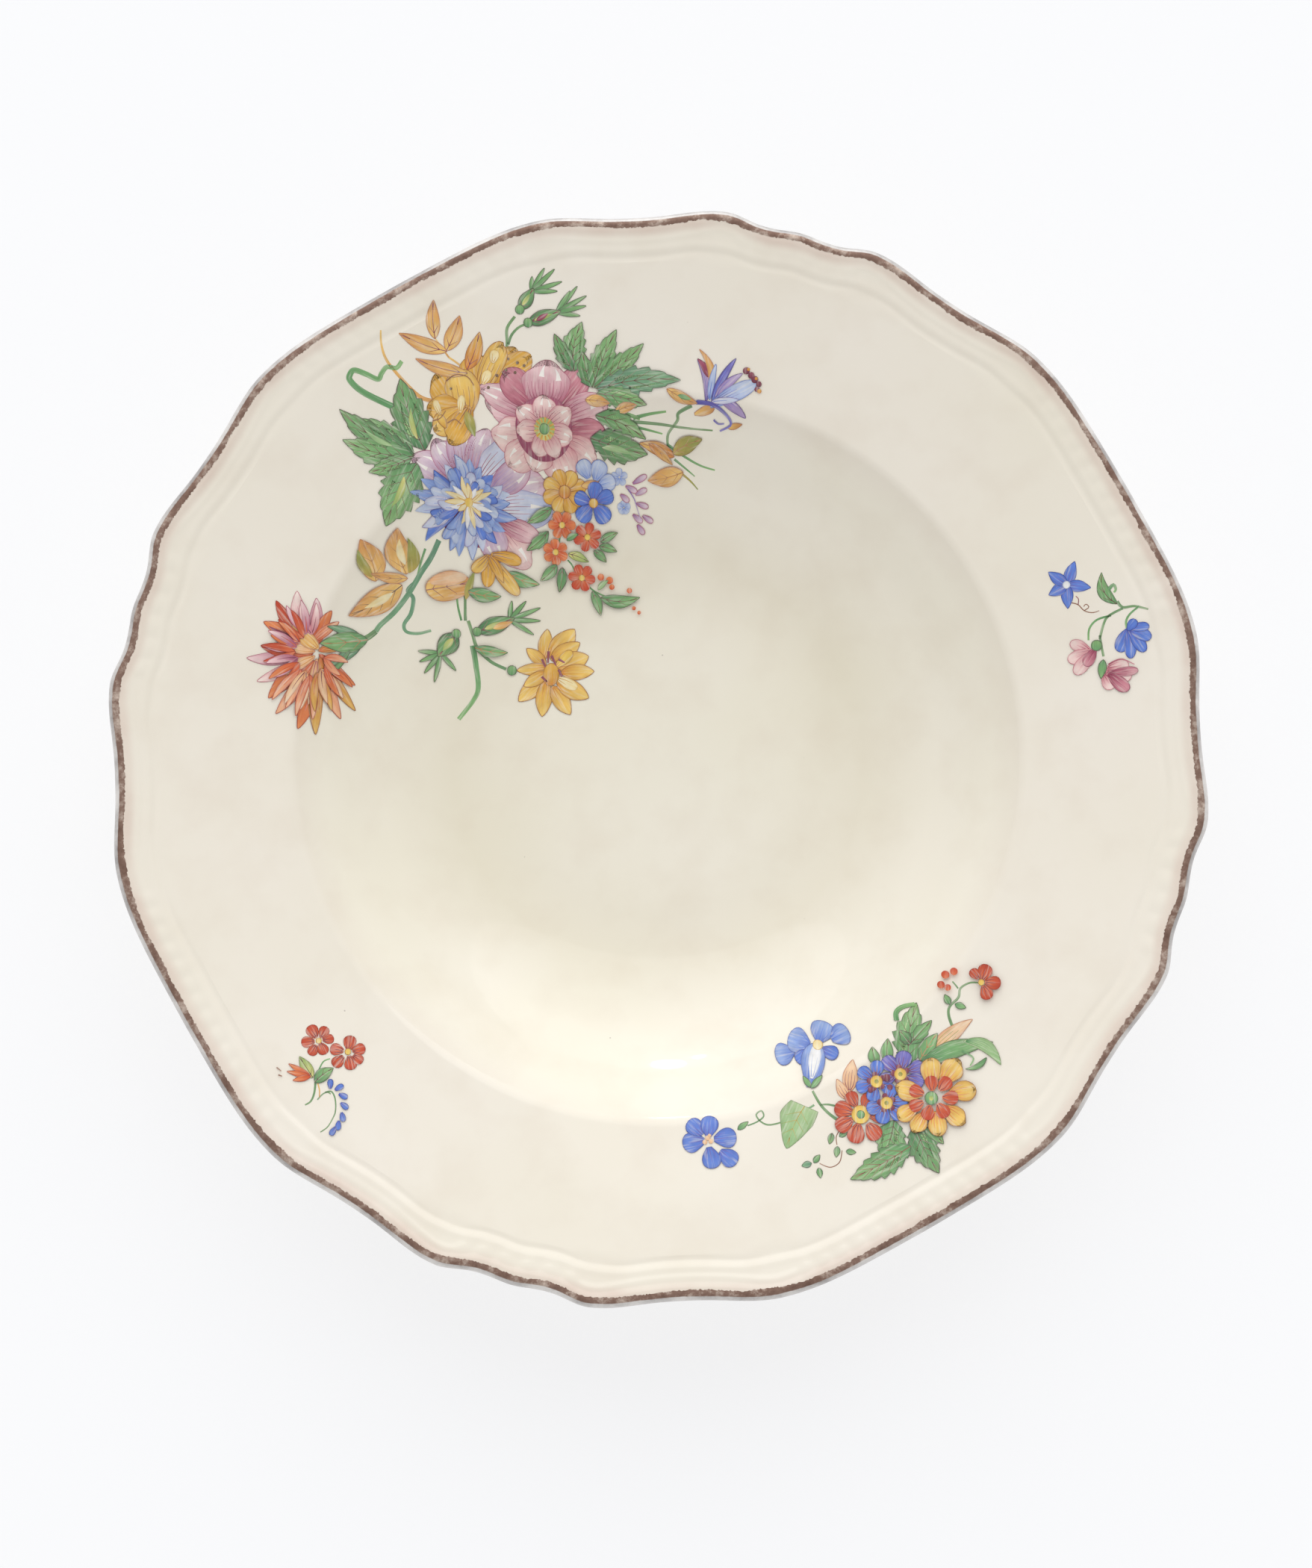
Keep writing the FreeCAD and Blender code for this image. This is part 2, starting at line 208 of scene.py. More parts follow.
def glaze_group():
    """Cream glaze: slow drifts of colour, specks, painted shade and light by distance from the middle, a
    ripple.
    """
    group, out = new_group("cream_glaze", [("Colour", COLOUR), ("Roughness", VALUE), ("Height", VALUE)])
    place = add_node(group, "ShaderNodeTexCoord").outputs["Object"]
    drift = add_node(group, "ShaderNodeTexNoise", {"Vector": place, "Scale": 18.0, "Detail": 3.0})
    base = add_ramp(group, drift.outputs["Fac"], [(0.3, rgb(245, 239, 221)), (0.7, rgb(249, 243, 229))])
    clouds = add_node(group, "ShaderNodeTexNoise", {"Vector": place, "Scale": 90.0, "Detail": 4.0})
    warm = add_ramp(group, clouds.outputs["Fac"], [(0.45, grey(0.0)), (0.8, grey(0.35))])
    base = mix_colour(group, warm, base, rgb(233, 222, 203))
    specks = add_node(group, "ShaderNodeTexVoronoi", {"Vector": place, "Scale": 190.0, "Randomness": 1.0})
    size = add_node(group, "ShaderNodeTexNoise", {"Vector": place, "Scale": 140.0})
    reach = add_node(group, "ShaderNodeMapRange", {0: size.outputs["Fac"], 1: 0.56, 2: 0.8, 3: 0.0, 4: 0.06})
    spot = add_node(group, "ShaderNodeMath", {0: specks.outputs["Distance"], 1: reach.outputs[0]},
                    operation="LESS_THAN")
    faint = add_node(group, "ShaderNodeMath", {0: spot.outputs[0], 1: 0.4}, operation="MULTIPLY")
    base = mix_colour(group, faint.outputs[0], base, rgb(120, 105, 95))
    distance = add_node(group, "ShaderNodeVectorMath", {0: place}, operation="LENGTH").outputs["Value"]
    outward = add_node(group, "ShaderNodeMapRange", {0: distance, 2: 0.12})
    # Painted shade and light by radius: darker and yellower round the floor's edge, lighter on the wall, a
    # pinker tint on the flange.
    radius_painted_light = add_ramp(group, outward.outputs[0], [
        (0.0, grey(0.965)), (0.24, (0.955, 0.950, 0.935, 1.0)), (0.40, (0.915, 0.900, 0.855, 1.0)),
        (0.54, (1.0, 0.995, 0.985, 1.0)), (0.66, grey(1.0)), (0.72, (0.955, 0.940, 0.945, 1.0))])
    base = mix_colour(group, 1.0, base, radius_painted_light, "MULTIPLY")
    smear = add_node(group, "ShaderNodeAttribute", attribute_name="smear").outputs["Fac"]
    patchy = add_node(group, "ShaderNodeMath", {0: smear, 1: clouds.outputs["Fac"]}, operation="MULTIPLY")
    base = mix_colour(group, patchy.outputs[0], base, rgb(214, 186, 172))
    group.links.new(base, out.inputs["Colour"])
    ripple = add_node(group, "ShaderNodeTexNoise", {"Vector": place, "Scale": 55.0, "Detail": 2.0})
    rough = add_node(group, "ShaderNodeMapRange", {0: clouds.outputs["Fac"], 3: 0.28, 4: 0.38})
    group.links.new(rough.outputs[0], out.inputs["Roughness"])
    group.links.new(ripple.outputs["Fac"], out.inputs["Height"])
    return group


def lining_group():
    """Brushed metal line: dark where it lies on the face; pale and silvery on the edge, partly worn metal
    and partly a painted highlight.
    """
    group, out = new_group("worn_lining_painted_highlight", [("Colour", COLOUR), ("Roughness", VALUE),
                                           ("Metallic", VALUE), ("Height", VALUE)])
    place = add_node(group, "ShaderNodeTexCoord").outputs["Object"]
    edge = add_node(group, "ShaderNodeAttribute", attribute_name="edge").outputs["Fac"]
    brush = add_node(group, "ShaderNodeTexNoise", {"Vector": place, "Scale": 260.0, "Detail": 6.0,
                                                   "Roughness": 0.75})
    patch = add_node(group, "ShaderNodeTexNoise", {"Vector": place, "Scale": 75.0, "Detail": 6.0,
                                                   "Roughness": 0.7})
    dark = add_ramp(group, brush.outputs["Fac"], [(0.3, rgb(108, 80, 68)), (0.5, rgb(136, 108, 94)),
                                                  (0.68, rgb(206, 188, 174))])
    # The edge's pale silvery colour: partly worn metal, partly a painted highlight.
    edge_painted_highlight_and_wear = add_ramp(group, patch.outputs["Fac"], [(0.35, rgb(176, 172, 170)), (0.6, rgb(226, 222, 218))])
    shifted = add_node(group, "ShaderNodeMath", {0: edge, 1: patch.outputs["Fac"]}, operation="ADD")
    share = add_ramp(group, shifted.outputs[0], [(0.70, grey(0.0)), (1.0, grey(1.0))])
    colour = mix_colour(group, share, dark, edge_painted_highlight_and_wear)
    group.links.new(colour, out.inputs["Colour"])
    rough = add_node(group, "ShaderNodeMapRange", {0: brush.outputs["Fac"], 3: 0.3, 4: 0.55})
    group.links.new(rough.outputs[0], out.inputs["Roughness"])
    metal = add_node(group, "ShaderNodeMapRange", {0: patch.outputs["Fac"], 1: 0.35, 2: 0.65, 3: 0.55,
                                                   4: 0.15})
    group.links.new(metal.outputs[0], out.inputs["Metallic"])
    group.links.new(brush.outputs["Fac"], out.inputs["Height"])
    return group


def enamel_group():
    """Tinted enamel: brush streaks along each stroke, thin watery places and pooled edges."""
    group, out = new_group("tinted_enamel", [("Colour", COLOUR), ("Roughness", VALUE), ("Height", VALUE)])
    tint = add_node(group, "ShaderNodeAttribute", attribute_name="tint").outputs["Color"]
    laid = add_node(group, "ShaderNodeAttribute", attribute_name="along").outputs["Vector"]
    place = add_node(group, "ShaderNodeTexCoord").outputs["Object"]
    along = add_node(group, "ShaderNodeMapping", {"Vector": laid, "Scale": (2.2, 0.22, 1.0)})
    streak = add_node(group, "ShaderNodeTexNoise", {"Vector": along.outputs[0], "Scale": 1.0, "Detail": 3.0})
    dabs = add_node(group, "ShaderNodeTexNoise", {"Vector": place, "Scale": 420.0, "Detail": 3.0})
    thin = add_ramp(group, streak.outputs["Fac"], [(0.50, grey(0.0)), (0.72, grey(0.38))])
    colour = mix_colour(group, thin, tint, CREAM)
    deep = add_ramp(group, streak.outputs["Fac"], [(0.30, grey(0.26)), (0.46, grey(0.0))])
    colour = mix_colour(group, deep, colour, mix_colour(group, 1.0, tint, tint, "MULTIPLY"))
    mottle = add_ramp(group, dabs.outputs["Fac"], [(0.3, grey(0.88)), (0.7, grey(1.06))])
    colour = mix_colour(group, 1.0, colour, mottle, "MULTIPLY")
    group.links.new(colour, out.inputs["Colour"])
    rough = add_node(group, "ShaderNodeMapRange", {0: dabs.outputs["Fac"], 3: 0.22, 4: 0.42})
    group.links.new(rough.outputs[0], out.inputs["Roughness"])
    group.links.new(streak.outputs["Fac"], out.inputs["Height"])
    return group


def biscuit_group():
    """Bare fired clay: grainy, matt, with grey rub marks."""
    group, out = new_group("bare_biscuit", [("Colour", COLOUR), ("Roughness", VALUE), ("Height", VALUE)])
    place = add_node(group, "ShaderNodeTexCoord").outputs["Object"]
    grain = add_node(group, "ShaderNodeTexNoise", {"Vector": place, "Scale": 900.0, "Detail": 6.0})
    rubs = add_node(group, "ShaderNodeTexNoise", {"Vector": place, "Scale": 60.0, "Detail": 4.0})
    base = add_ramp(group, grain.outputs["Fac"], [(0.3, rgb(206, 192, 168)), (0.7, rgb(232, 222, 202))])
    worn = add_ramp(group, rubs.outputs["Fac"], [(0.5, grey(0.0)), (0.75, grey(0.5))])
    base = mix_colour(group, worn, base, rgb(168, 156, 142))
    group.links.new(base, out.inputs["Colour"])
    rough = add_node(group, "ShaderNodeMapRange", {0: grain.outputs["Fac"], 3: 0.7, 4: 0.95})
    group.links.new(rough.outputs[0], out.inputs["Roughness"])
    group.links.new(grain.outputs["Fac"], out.inputs["Height"])
    return group


def material_from(name, group, bump, distance, coat=0.0):
    """A material whose colour, roughness and bump come from a group."""
    material, tree, surface = new_material(name)
    node = add_node(tree, "ShaderNodeGroup", node_tree=group)
    tree.links.new(node.outputs["Colour"], surface.inputs["Base Color"])
    tree.links.new(node.outputs["Roughness"], surface.inputs["Roughness"])
    if "Metallic" in node.outputs:
        tree.links.new(node.outputs["Metallic"], surface.inputs["Metallic"])
    raised = add_node(tree, "ShaderNodeBump", {"Height": node.outputs["Height"], "Strength": bump,
                                               "Distance": distance})
    tree.links.new(raised.outputs["Normal"], surface.inputs["Normal"])
    surface.inputs["Coat Weight"].default_value = coat
    surface.inputs["Coat Roughness"].default_value = 0.05
    return material


GLAZE = material_from("cream_glaze", glaze_group(), 0.08, 0.0004, coat=0.5)
LINING = material_from("worn_lining_painted_highlight", lining_group(), 0.3, 0.0001)
ENAMEL = material_from("tinted_enamel", enamel_group(), 0.25, 0.00005, coat=0.15)
BISCUIT = material_from("bare_biscuit", biscuit_group(), 0.4, 0.0001)


# ---------------------------------------------------------------- mesh helpers

def finish_piece(bm, name, material, slot, *replaced):
    """Turns a bmesh in millimetres into a shaded piece of the object that rides on the bowl."""
    bmesh.ops.scale(bm, vec=Vector((MM, MM, MM)), verts=bm.verts)
    mesh = bpy.data.meshes.new(name)
    bm.to_mesh(mesh)
    bm.free()
    for polygon in mesh.polygons:
        polygon.use_smooth = True
    mesh.materials.append(material)
    piece = bpy.data.objects.new(name, mesh)
    bpy.context.scene.collection.objects.link(piece)
    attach(piece, "root")
    if replaced:
        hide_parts(*replaced)


def spun(profile, steps):
    """A bmesh spun about Z from (radius, height) pairs; each vertex keeps its profile number."""
    bm = bmesh.new()
    row = bm.verts.layers.int.new("row")
    last = None
    for number, (r, z) in enumerate(profile):
        vert = bm.verts.new((r, 0.0, z))
        vert[row] = number
        if last is not None:
            bm.edges.new((last, vert))
        last = vert
    bmesh.ops.spin(bm, geom=bm.verts[:] + bm.edges[:], axis=(0, 0, 1), cent=(0, 0, 0),
                   angle=math.pi / 2.0, steps=steps // 4)
    quarter = bm.verts[:] + bm.edges[:] + bm.faces[:]
    for turn in (1, 2, 3):
        copied = bmesh.ops.duplicate(bm, geom=quarter)["geom"]
        bmesh.ops.rotate(bm, cent=(0, 0, 0), matrix=Matrix.Rotation(turn * math.pi / 2.0, 3, "Z"),
                         verts=[v for v in copied if isinstance(v, bmesh.types.BMVert)])
    bmesh.ops.remove_doubles(bm, verts=bm.verts, dist=1e-3)
    return bm, row


def turn_faces(bm, upward):
    """Makes the faces of an open skin agree, then turns them all up or all down."""
    bmesh.ops.recalc_face_normals(bm, faces=bm.faces)
    rise = sum(face.normal.z * face.calc_area() for face in bm.faces)
    if (rise > 0.0) != upward:
        bmesh.ops.reverse_faces(bm, faces=bm.faces)


def steps_between(start, end, step):
    count = max(1, int(round(abs(end - start) / step)))
    return [start + (end - start) * k / count for k in range(count)]


def nose_profile(lift, first_across, back_end):
    """(radius, height) round the rolled edge for the mean rim, from the face to the back."""
    points = []
    centre_r = RIM_RADIUS - NOSE
    half = THICK / 2 / math.cos(RIM_SLOPE)
    middle_z = face_z(centre_r) - half
    for across in steps_between(first_across, NOSE, 0.22):
        points.append((RIM_RADIUS - across, face_z(RIM_RADIUS - across) + lift))
    for k in range(13):
        angle = math.pi / 2 - math.pi * k / 12
        out = math.copysign(abs(math.cos(angle)) ** 0.85, math.cos(angle))
        up = math.copysign(abs(math.sin(angle)) ** 0.85, math.sin(angle))
        points.append((centre_r + (NOSE + lift) * max(0.0, out), middle_z + (half + lift) * up))
    for across in steps_between(NOSE + 0.6, back_end, 0.8) + [back_end]:
        r = RIM_RADIUS - across
        points.append((r, face_z(r) - THICK / math.cos(RIM_SLOPE) - lift))
    return points


def follow_lobes(bm, raise_relief):
    """Moves a spun border out to the lobed edge and raises its moulding."""
    for vert in bm.verts:
        r = math.hypot(vert.co.x, vert.co.y)
        if r < RIM_RADIUS - BORDER + 0.01:
            continue
        angle = math.atan2(vert.co.y, vert.co.x)
        across = RIM_RADIUS - r
        share = 1.0 - smooth(9.3, BORDER, across)
        moved = rim_offset(angle) * share
        scale = (r + moved) / r
        vert.co.x *= scale
        vert.co.y *= scale
        vert.co.z += moved * math.tan(RIM_SLOPE)
        if raise_relief and vert.co.z > face_z(r + moved) - 0.2:
            vert.co.z += relief(across, angle) * smooth(0.6, 1.8, across)


# ---------------------------------------------------------------- glaze and lining

def build_glaze():
    border = nose_profile(0.0, BORDER, BORDER)
    bm, _ = spun(border, BORDER_STEPS)
    smear = bm.verts.layers.float.new("smear")
    for vert in bm.verts:
        across = RIM_RADIUS - math.hypot(vert.co.x, vert.co.y)
        vert[smear] = 0.85 * smooth(1.0, 2.6, across) * (1.0 - smooth(2.8, 5.2, across))
    follow_lobes(bm, True)
    bmesh.ops.recalc_face_normals(bm, faces=bm.faces)
    finish_piece(bm, "glaze_border", GLAZE, "glaze", "glaze_coat")

    inner = RIM_RADIUS - BORDER
    face = [(0.0, FLOOR_HEIGHT)] + [(r, FLOOR_HEIGHT) for r in (6.0, 14.0, 22.0, 30.0)]
    radii = steps_between(34.8, 69.5, 0.8) + steps_between(69.5, 78.6, 1.2)
    radii += steps_between(78.6, 81.6, 0.16) + steps_between(81.6, inner, 2.0) + [inner]
    face += [(r, face_z(r)) for r in radii]
    bm, _ = spun(face, FACE_STEPS)
    turn_faces(bm, True)
    finish_piece(bm, "glaze_face", GLAZE, "glaze", "glaze_coat")

    back = [(inner, face_z(inner) - THICK / math.cos(RIM_SLOPE))]
    radii = steps_between(inner - 2.0, 83.0, 3.0) + steps_between(83.0, 77.0, 0.4)
    radii += steps_between(77.0, 52.5, 1.2)
    for r in radii:
        point = back_point(r)
        if point[0] > FOOT_OUTER:
            back.append(point)
    back.append((FOOT_OUTER, back[-1][1] - 0.25))
    back += [(FOOT_OUTER, z) for z in steps_between(back[-1][1] - 0.6, FOOT_WIPED, 1.0)]
    back.append((FOOT_OUTER, FOOT_WIPED))
    bm, _ = spun(back, BACK_STEPS)
    turn_faces(bm, False)
    finish_piece(bm, "glaze_outside", GLAZE, "glaze", "glaze_coat")


def build_lining():
    bm, row = spun(nose_profile(0.05, 2.3, 1.2), LINING_STEPS)
    edge = bm.verts.layers.float.new("edge")
    for vert in bm.verts:
        r = math.hypot(vert.co.x, vert.co.y)
        angle = math.atan2(vert.co.y, vert.co.x)
        turned = turn_in_lobe(angle)
        across = RIM_RADIUS - r
        on_face = vert.co.z > face_z(RIM_RADIUS - NOSE) - 0.9
        if vert[row] <= 1:
            here = Vector((math.cos(angle) * 140.0, math.sin(angle) * 140.0, 3.0 * vert[row]))
            spike = noise.noise(here * 2.6) * 0.28 + noise.noise(here * 0.9) * 0.22
            spike += noise.noise(here * 0.12) * 0.3
            near, far = LOBE_HIGHS
            crest = math.exp(-((turned - near) / 3.0) ** 2) + math.exp(-((turned - far) / 3.0) ** 2)
            pulled = (spike - 0.2 * crest) * (1.0 if vert[row] == 0 else 0.5)
            vert.co.x *= (r + pulled) / r
            vert.co.y *= (r + pulled) / r
            vert.co.z += pulled * math.tan(RIM_SLOPE)
        # edge: 1 on the rolled edge, 0.95 on the back, 0 on the face; the pale silvery colour, partly worn
        # metal and partly painted highlight, goes where it is high.
        vert[edge] = 0.0 if on_face and across > 1.3 else 1.0 - smooth(0.5, 1.3, across) if on_face else 0.95
    follow_lobes(bm, False)
    for vert in bm.verts:
        r = math.hypot(vert.co.x, vert.co.y)
        across = RIM_RADIUS - r + rim_offset(math.atan2(vert.co.y, vert.co.x))
        if vert.co.z > face_z(r) - 0.2:
            vert.co.z += relief(across, math.atan2(vert.co.y, vert.co.x)) * smooth(0.6, 1.8, across)
    bmesh.ops.recalc_face_normals(bm, faces=bm.faces)
    finish_piece(bm, "lining_band", LINING, "lining", "rim_lining")


build_glaze()
build_lining()
for node, material in (("biscuit_body", BISCUIT), ("base_glaze", GLAZE)):
    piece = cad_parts[node]
    piece.data.materials.clear()
    piece.data.materials.append(material)

# ---------------------------------------------------------------- printed flowers

LIFT, LAYER, CELL = 0.03, 0.004, 0.36    # height over the glaze, step between dabs, mesh size
LINE = 0.2                               # width of a printed outline
DROP = 1.0                               # the prints all sit this far towards -Y

# Inks: colour at the foot of a dab, at its tip, and of its printed outline.
INKS = {
    "green": ((98, 152, 98), (146, 190, 124), (86, 100, 72)),
    "dark_green": ((80, 132, 86), (130, 176, 114), (90, 76, 68)),
    "blue_green": ((100, 148, 118), (132, 176, 132), (92, 104, 84)),
    "pale_green": ((178, 204, 150), (152, 190, 132), (124, 146, 98)),
    "lime": ((226, 214, 128), (160, 188, 112), (128, 140, 84)),
    "olive": ((196, 170, 84), (150, 160, 82), (146, 124, 74)),
    "ochre": ((244, 204, 120), (216, 156, 86), (190, 130, 96)),
    "gold": ((208, 148, 44), (236, 186, 84), (176, 118, 42)),
    "amber": ((222, 164, 60), (244, 208, 116), (164, 104, 50)),
    "cream": ((246, 236, 200), (244, 222, 164), (218, 180, 104)),
    "peach": ((238, 182, 130), (242, 212, 178), (196, 130, 94)),
    "autumn": ((214, 132, 56), (230, 186, 96), (166, 100, 58)),
    "blush": ((200, 116, 126), (250, 232, 222), (196, 116, 128)),
    "pink": ((160, 66, 96), (248, 222, 218), (180, 96, 118)),
    "rose": ((154, 58, 84), (222, 158, 166), (148, 66, 90)),
    "crimson": ((136, 44, 74), (180, 96, 120), (118, 44, 68)),
    "lilac": ((150, 104, 156), (236, 220, 224), (172, 92, 124)),
    "mauve": ((134, 104, 172), (196, 176, 212), (110, 84, 144)),
    "violet": ((92, 86, 170), (136, 130, 204), (72, 62, 126)),
    "maroon": ((112, 44, 66), (150, 74, 92), (88, 34, 52)),
    "blue": ((84, 116, 204), (100, 136, 218), (58, 76, 156)),
    "sky": ((104, 132, 206), (158, 182, 228), (82, 102, 172)),
    "pale_blue": ((150, 168, 218), (206, 216, 234), (108, 128, 190)),
    "ice": ((232, 226, 234), (198, 208, 232), (150, 140, 184)),
    "scarlet": ((222, 120, 72), (196, 66, 34), (164, 58, 34)),
    "vermilion": ((208, 80, 34), (234, 146, 88), (176, 70, 44)),
    "salmon": ((220, 116, 78), (244, 190, 148), (184, 86, 66)),
    "stem": ((112, 150, 104), (130, 164, 112), (96, 100, 78)),
    "brown": ((142, 96, 76), (164, 116, 92), (112, 76, 62)),
    "umber": ((110, 84, 70), (138, 112, 88), (92, 70, 58)),
    "wine": ((140, 70, 84), (164, 96, 106), (108, 52, 64)),
    "sepia": ((186, 130, 84), (200, 150, 104), (160, 108, 70)),
    "shade": ((150, 62, 94), (172, 88, 116), (136, 56, 84)),
    "glint": ((248, 242, 234), (250, 246, 240), (240, 230, 224)),
    "leaf_light": ((158, 200, 134), (178, 210, 142), (150, 190, 124)),
    "white": ((248, 246, 242), (240, 240, 242), (170, 180, 205)),
    "yellow": ((244, 214, 110), (236, 196, 92), (186, 134, 56)),
}


def wave(place, seed):
    return noise.noise(Vector((place, seed * 7.31, 0.5)))


def half_width(form, v, teeth):
    """Half-width of a dab, 0 to 1, at a share v of the way from its foot to its tip."""
    if form in ("leaf", "toothed"):
        width = max(0.0, math.sin(math.pi * v ** 0.82)) ** 0.9
        if form == "toothed":
            width *= 0.80 + 0.34 * ((v * teeth) % 1.0) * (1.0 - v ** 6)
        return width
    if form == "blade":
        return max(0.0, math.sin(math.pi * v ** 0.9)) ** 0.75
    if form == "round":
        return math.sqrt(max(0.0, 1.0 - (2.0 * v - 1.0) ** 2))
    if form == "heart":
        if v < 0.35:
            return math.sqrt(max(0.0, 1.0 - (1.6 * v - 0.55) ** 2))
        return max(0.0, 1.0 - (v - 0.34) / 0.66) ** 0.72
    crown = 0.62
    if v < crown:
        return 0.22 + 0.78 * math.sin(math.pi / 2 * v / crown)
    return math.sqrt(max(0.0, 1.0 - ((v - crown) / (1.0 - crown)) ** 2))


class Print:
    """The dabs and strokes of one motif, gathered in one mesh that follows the face."""

    def __init__(self, first_layer=0):
        self.bm = bmesh.new()
        self.tint = self.bm.verts.layers.float_color.new("tint")
        self.along = self.bm.verts.layers.float_vector.new("along")
        self.layer = first_layer
        self.count = 0

    def set_vertex(self, vert, x, y, along, colour):
        y -= DROP
        r = math.hypot(x, y)
        z = face_z(r) + LIFT + self.layer * LAYER
        if r > 107.0:
            angle = math.atan2(y, x)
            z += relief(RIM_RADIUS + rim_offset(angle) - r, angle)
        vert.co = (x, y, z)
        vert[self.along] = along
        vert[self.tint] = (linear(colour[0]), linear(colour[1]), linear(colour[2]), 1.0)

    def sheet(self, base, tip, width, colours, form, bend, teeth, grow, seed):
        """One dab, warped from a grid: base to tip, as wide as its form says."""
        (x0, y0), (x1, y1) = base, tip
        length = math.hypot(x1 - x0, y1 - y0)
        if length < 1e-6:
            return
        ahead = ((x1 - x0) / length, (y1 - y0) / length)
        rows = max(7 if form != "round" else 9, int(length / CELL), teeth * 4 if form == "toothed" else 0)
        columns = max(4, int(width / CELL))
        made = bmesh.ops.create_grid(self.bm, x_segments=columns, y_segments=rows, size=1.0)["verts"]
        foot, top, edge = colours
        for vert in made:
            u, v = vert.co.x, (vert.co.y + 1.0) / 2.0
            if form in ("round", "petal", "frill"):
                v = (1.0 - math.cos(math.pi * v)) / 2.0
            half = half_width(form, v, teeth) * width / 2.0 + grow
            reach = v * length + (2.0 * v - 1.0) * grow
            if form == "frill":
                reach += 0.06 * length * math.sin(u * 9.0 + seed) * v ** 3
                half *= 1.0 + 0.08 * wave(v * 4.0, seed)
            side = u * half + bend * 4.0 * v * (1.0 - v) + 0.03 * width * wave(v * 3.0 + 5.0, seed)
            x = x0 + ahead[0] * reach - ahead[1] * side
            y = y0 + ahead[1] * reach + ahead[0] * side
            shade = v ** 0.8
            colour = [a + (b - a) * shade for a, b in zip(foot, top)]
            rim = max(abs(u) ** 5, (v ** 14 if form in ("petal", "frill", "round") else 0.0)) * 0.35
            colour = [a + (b - a) * rim for a, b in zip(colour, edge)]
            self.set_vertex(vert, x, y, (side + seed * 3.7, v * length + seed * 5.1, seed), colour)

    def dab(self, form, ink, x0, y0, x1, y1, width, bend=0.0, rays=0, ray_ink=None, veins=0,
            vein_ink="umber", teeth=5, outline=True):
        """A printed dab with its outline, and hatching or veins over it."""
        self.count += 1
        self.layer += 1
        seed = self.count * 1.618
        colours = INKS[ink]
        if outline:
            edge = colours[2]
            self.sheet((x0, y0), (x1, y1), width, (edge, edge, edge), form, bend, teeth, LINE * 0.5, seed)
            self.layer += 1
        self.sheet((x0, y0), (x1, y1), width, colours, form, bend, teeth, 0.0 if outline else 0.02, seed)
        if rays:
            self.layer += 1
            for k in range(rays):
                u = (k + 0.5) / rays * 2.0 - 1.0
                reach = 0.42 + 0.30 * (0.5 + 0.5 * wave(k * 1.7, seed)) + 0.12 * (k % 2)
                self.hatch(x0, y0, x1, y1, width, bend, form, u * 0.86, 0.04, reach, ray_ink or ink)
        if form == "frill" and width > 4.5 and ink in ("blush", "pink", "lilac", "ice"):
            for u, start in ((-0.5, 0.66), (0.22, 0.72)):
                self.hatch(x0, y0, x1, y1, width, bend, form, u, start, start + 0.24, "glint", 0.12 * width)
        if form == "toothed" and width > 3.5:
            self.hatch(x0, y0, x1, y1, width, bend, form, 0.34, 0.22, 0.72, "leaf_light", 0.17 * width)
            self.hatch(x0, y0, x1, y1, width, bend, form, -0.5, 0.38, 0.74, "leaf_light", 0.10 * width)
            self.layer += 1
        if veins:
            self.layer += 1
            self.hatch(x0, y0, x1, y1, width, bend, form, 0.0, 0.0, 0.93, vein_ink, 0.2)
            length = math.hypot(x1 - x0, y1 - y0)
            for k in range(veins):
                v = 0.14 + 0.62 * k / max(1, veins - 1)
                for side in (-1.0, 1.0):
                    far = min(0.97, v + 0.2)
                    a = self.on_dab(x0, y0, x1, y1, bend, v, 0.0)
                    b = self.on_dab(x0, y0, x1, y1, bend, far,
                                    side * 0.74 * width / 2 * half_width("leaf", far, 1))
                    if length > 2.5:
                        self.stroke([a, b], 0.16, 0.06, vein_ink)

    def on_dab(self, x0, y0, x1, y1, bend, v, side):
        length = math.hypot(x1 - x0, y1 - y0)
        ahead = ((x1 - x0) / length, (y1 - y0) / length)
        side += bend * 4.0 * v * (1.0 - v)
        return (x0 + ahead[0] * v * length - ahead[1] * side, y0 + ahead[1] * v * length + ahead[0] * side)

    def hatch(self, x0, y0, x1, y1, width, bend, form, u, start, end, ink, thick=0.2):
        points = []
        for k in range(4):
            v = start + (end - start) * k / 3
            half = half_width(form if form != "toothed" else "leaf", v, 1) * width / 2
            points.append(self.on_dab(x0, y0, x1, y1, bend, v, u * half))
        self.stroke(points, thick, 0.06, ink)

    def stroke(self, points, start, end, ink, raise_layer=False):
        """A brush line through the points, from one width to another."""
        if raise_layer:
            self.layer += 1
        self.count += 1
        foot, top, _ = INKS[ink]
        ends = [points[0]] + list(points) + [points[-1]]
        spans = len(points) - 1
        length = sum(math.dist(a, b) for a, b in zip(points, points[1:]))
        rows = max(3, min(90, int(length / 0.34)))
        made = bmesh.ops.create_grid(self.bm, x_segments=2, y_segments=rows, size=1.0)["verts"]
        for vert in made:
            u, v = vert.co.x, (vert.co.y + 1.0) / 2.0
            here = min(spans - 1e-6, v * spans)
            k = int(here)
            t = here - k
            p0, p1, p2, p3 = ends[k:k + 4]
            place, ahead = [], []
            for a, b, c, d in zip(p0, p1, p2, p3):
                place.append(0.5 * (2 * b + (c - a) * t + (2 * a - 5 * b + 4 * c - d) * t * t
                                    + (3 * b - a - 3 * c + d) * t ** 3))
                ahead.append(0.5 * ((c - a) + 2 * (2 * a - 5 * b + 4 * c - d) * t
                                    + 3 * (3 * b - a - 3 * c + d) * t * t))
            size = math.hypot(*ahead) or 1.0
            half = (start + (end - start) * v) / 2.0
            side = u * half
            x = place[0] - ahead[1] / size * side
            y = place[1] + ahead[0] / size * side
            colour = [a + (b - a) * v for a, b in zip(foot, top)]
            self.set_vertex(vert, x, y, (side + self.count, v * length, 0.0), colour)

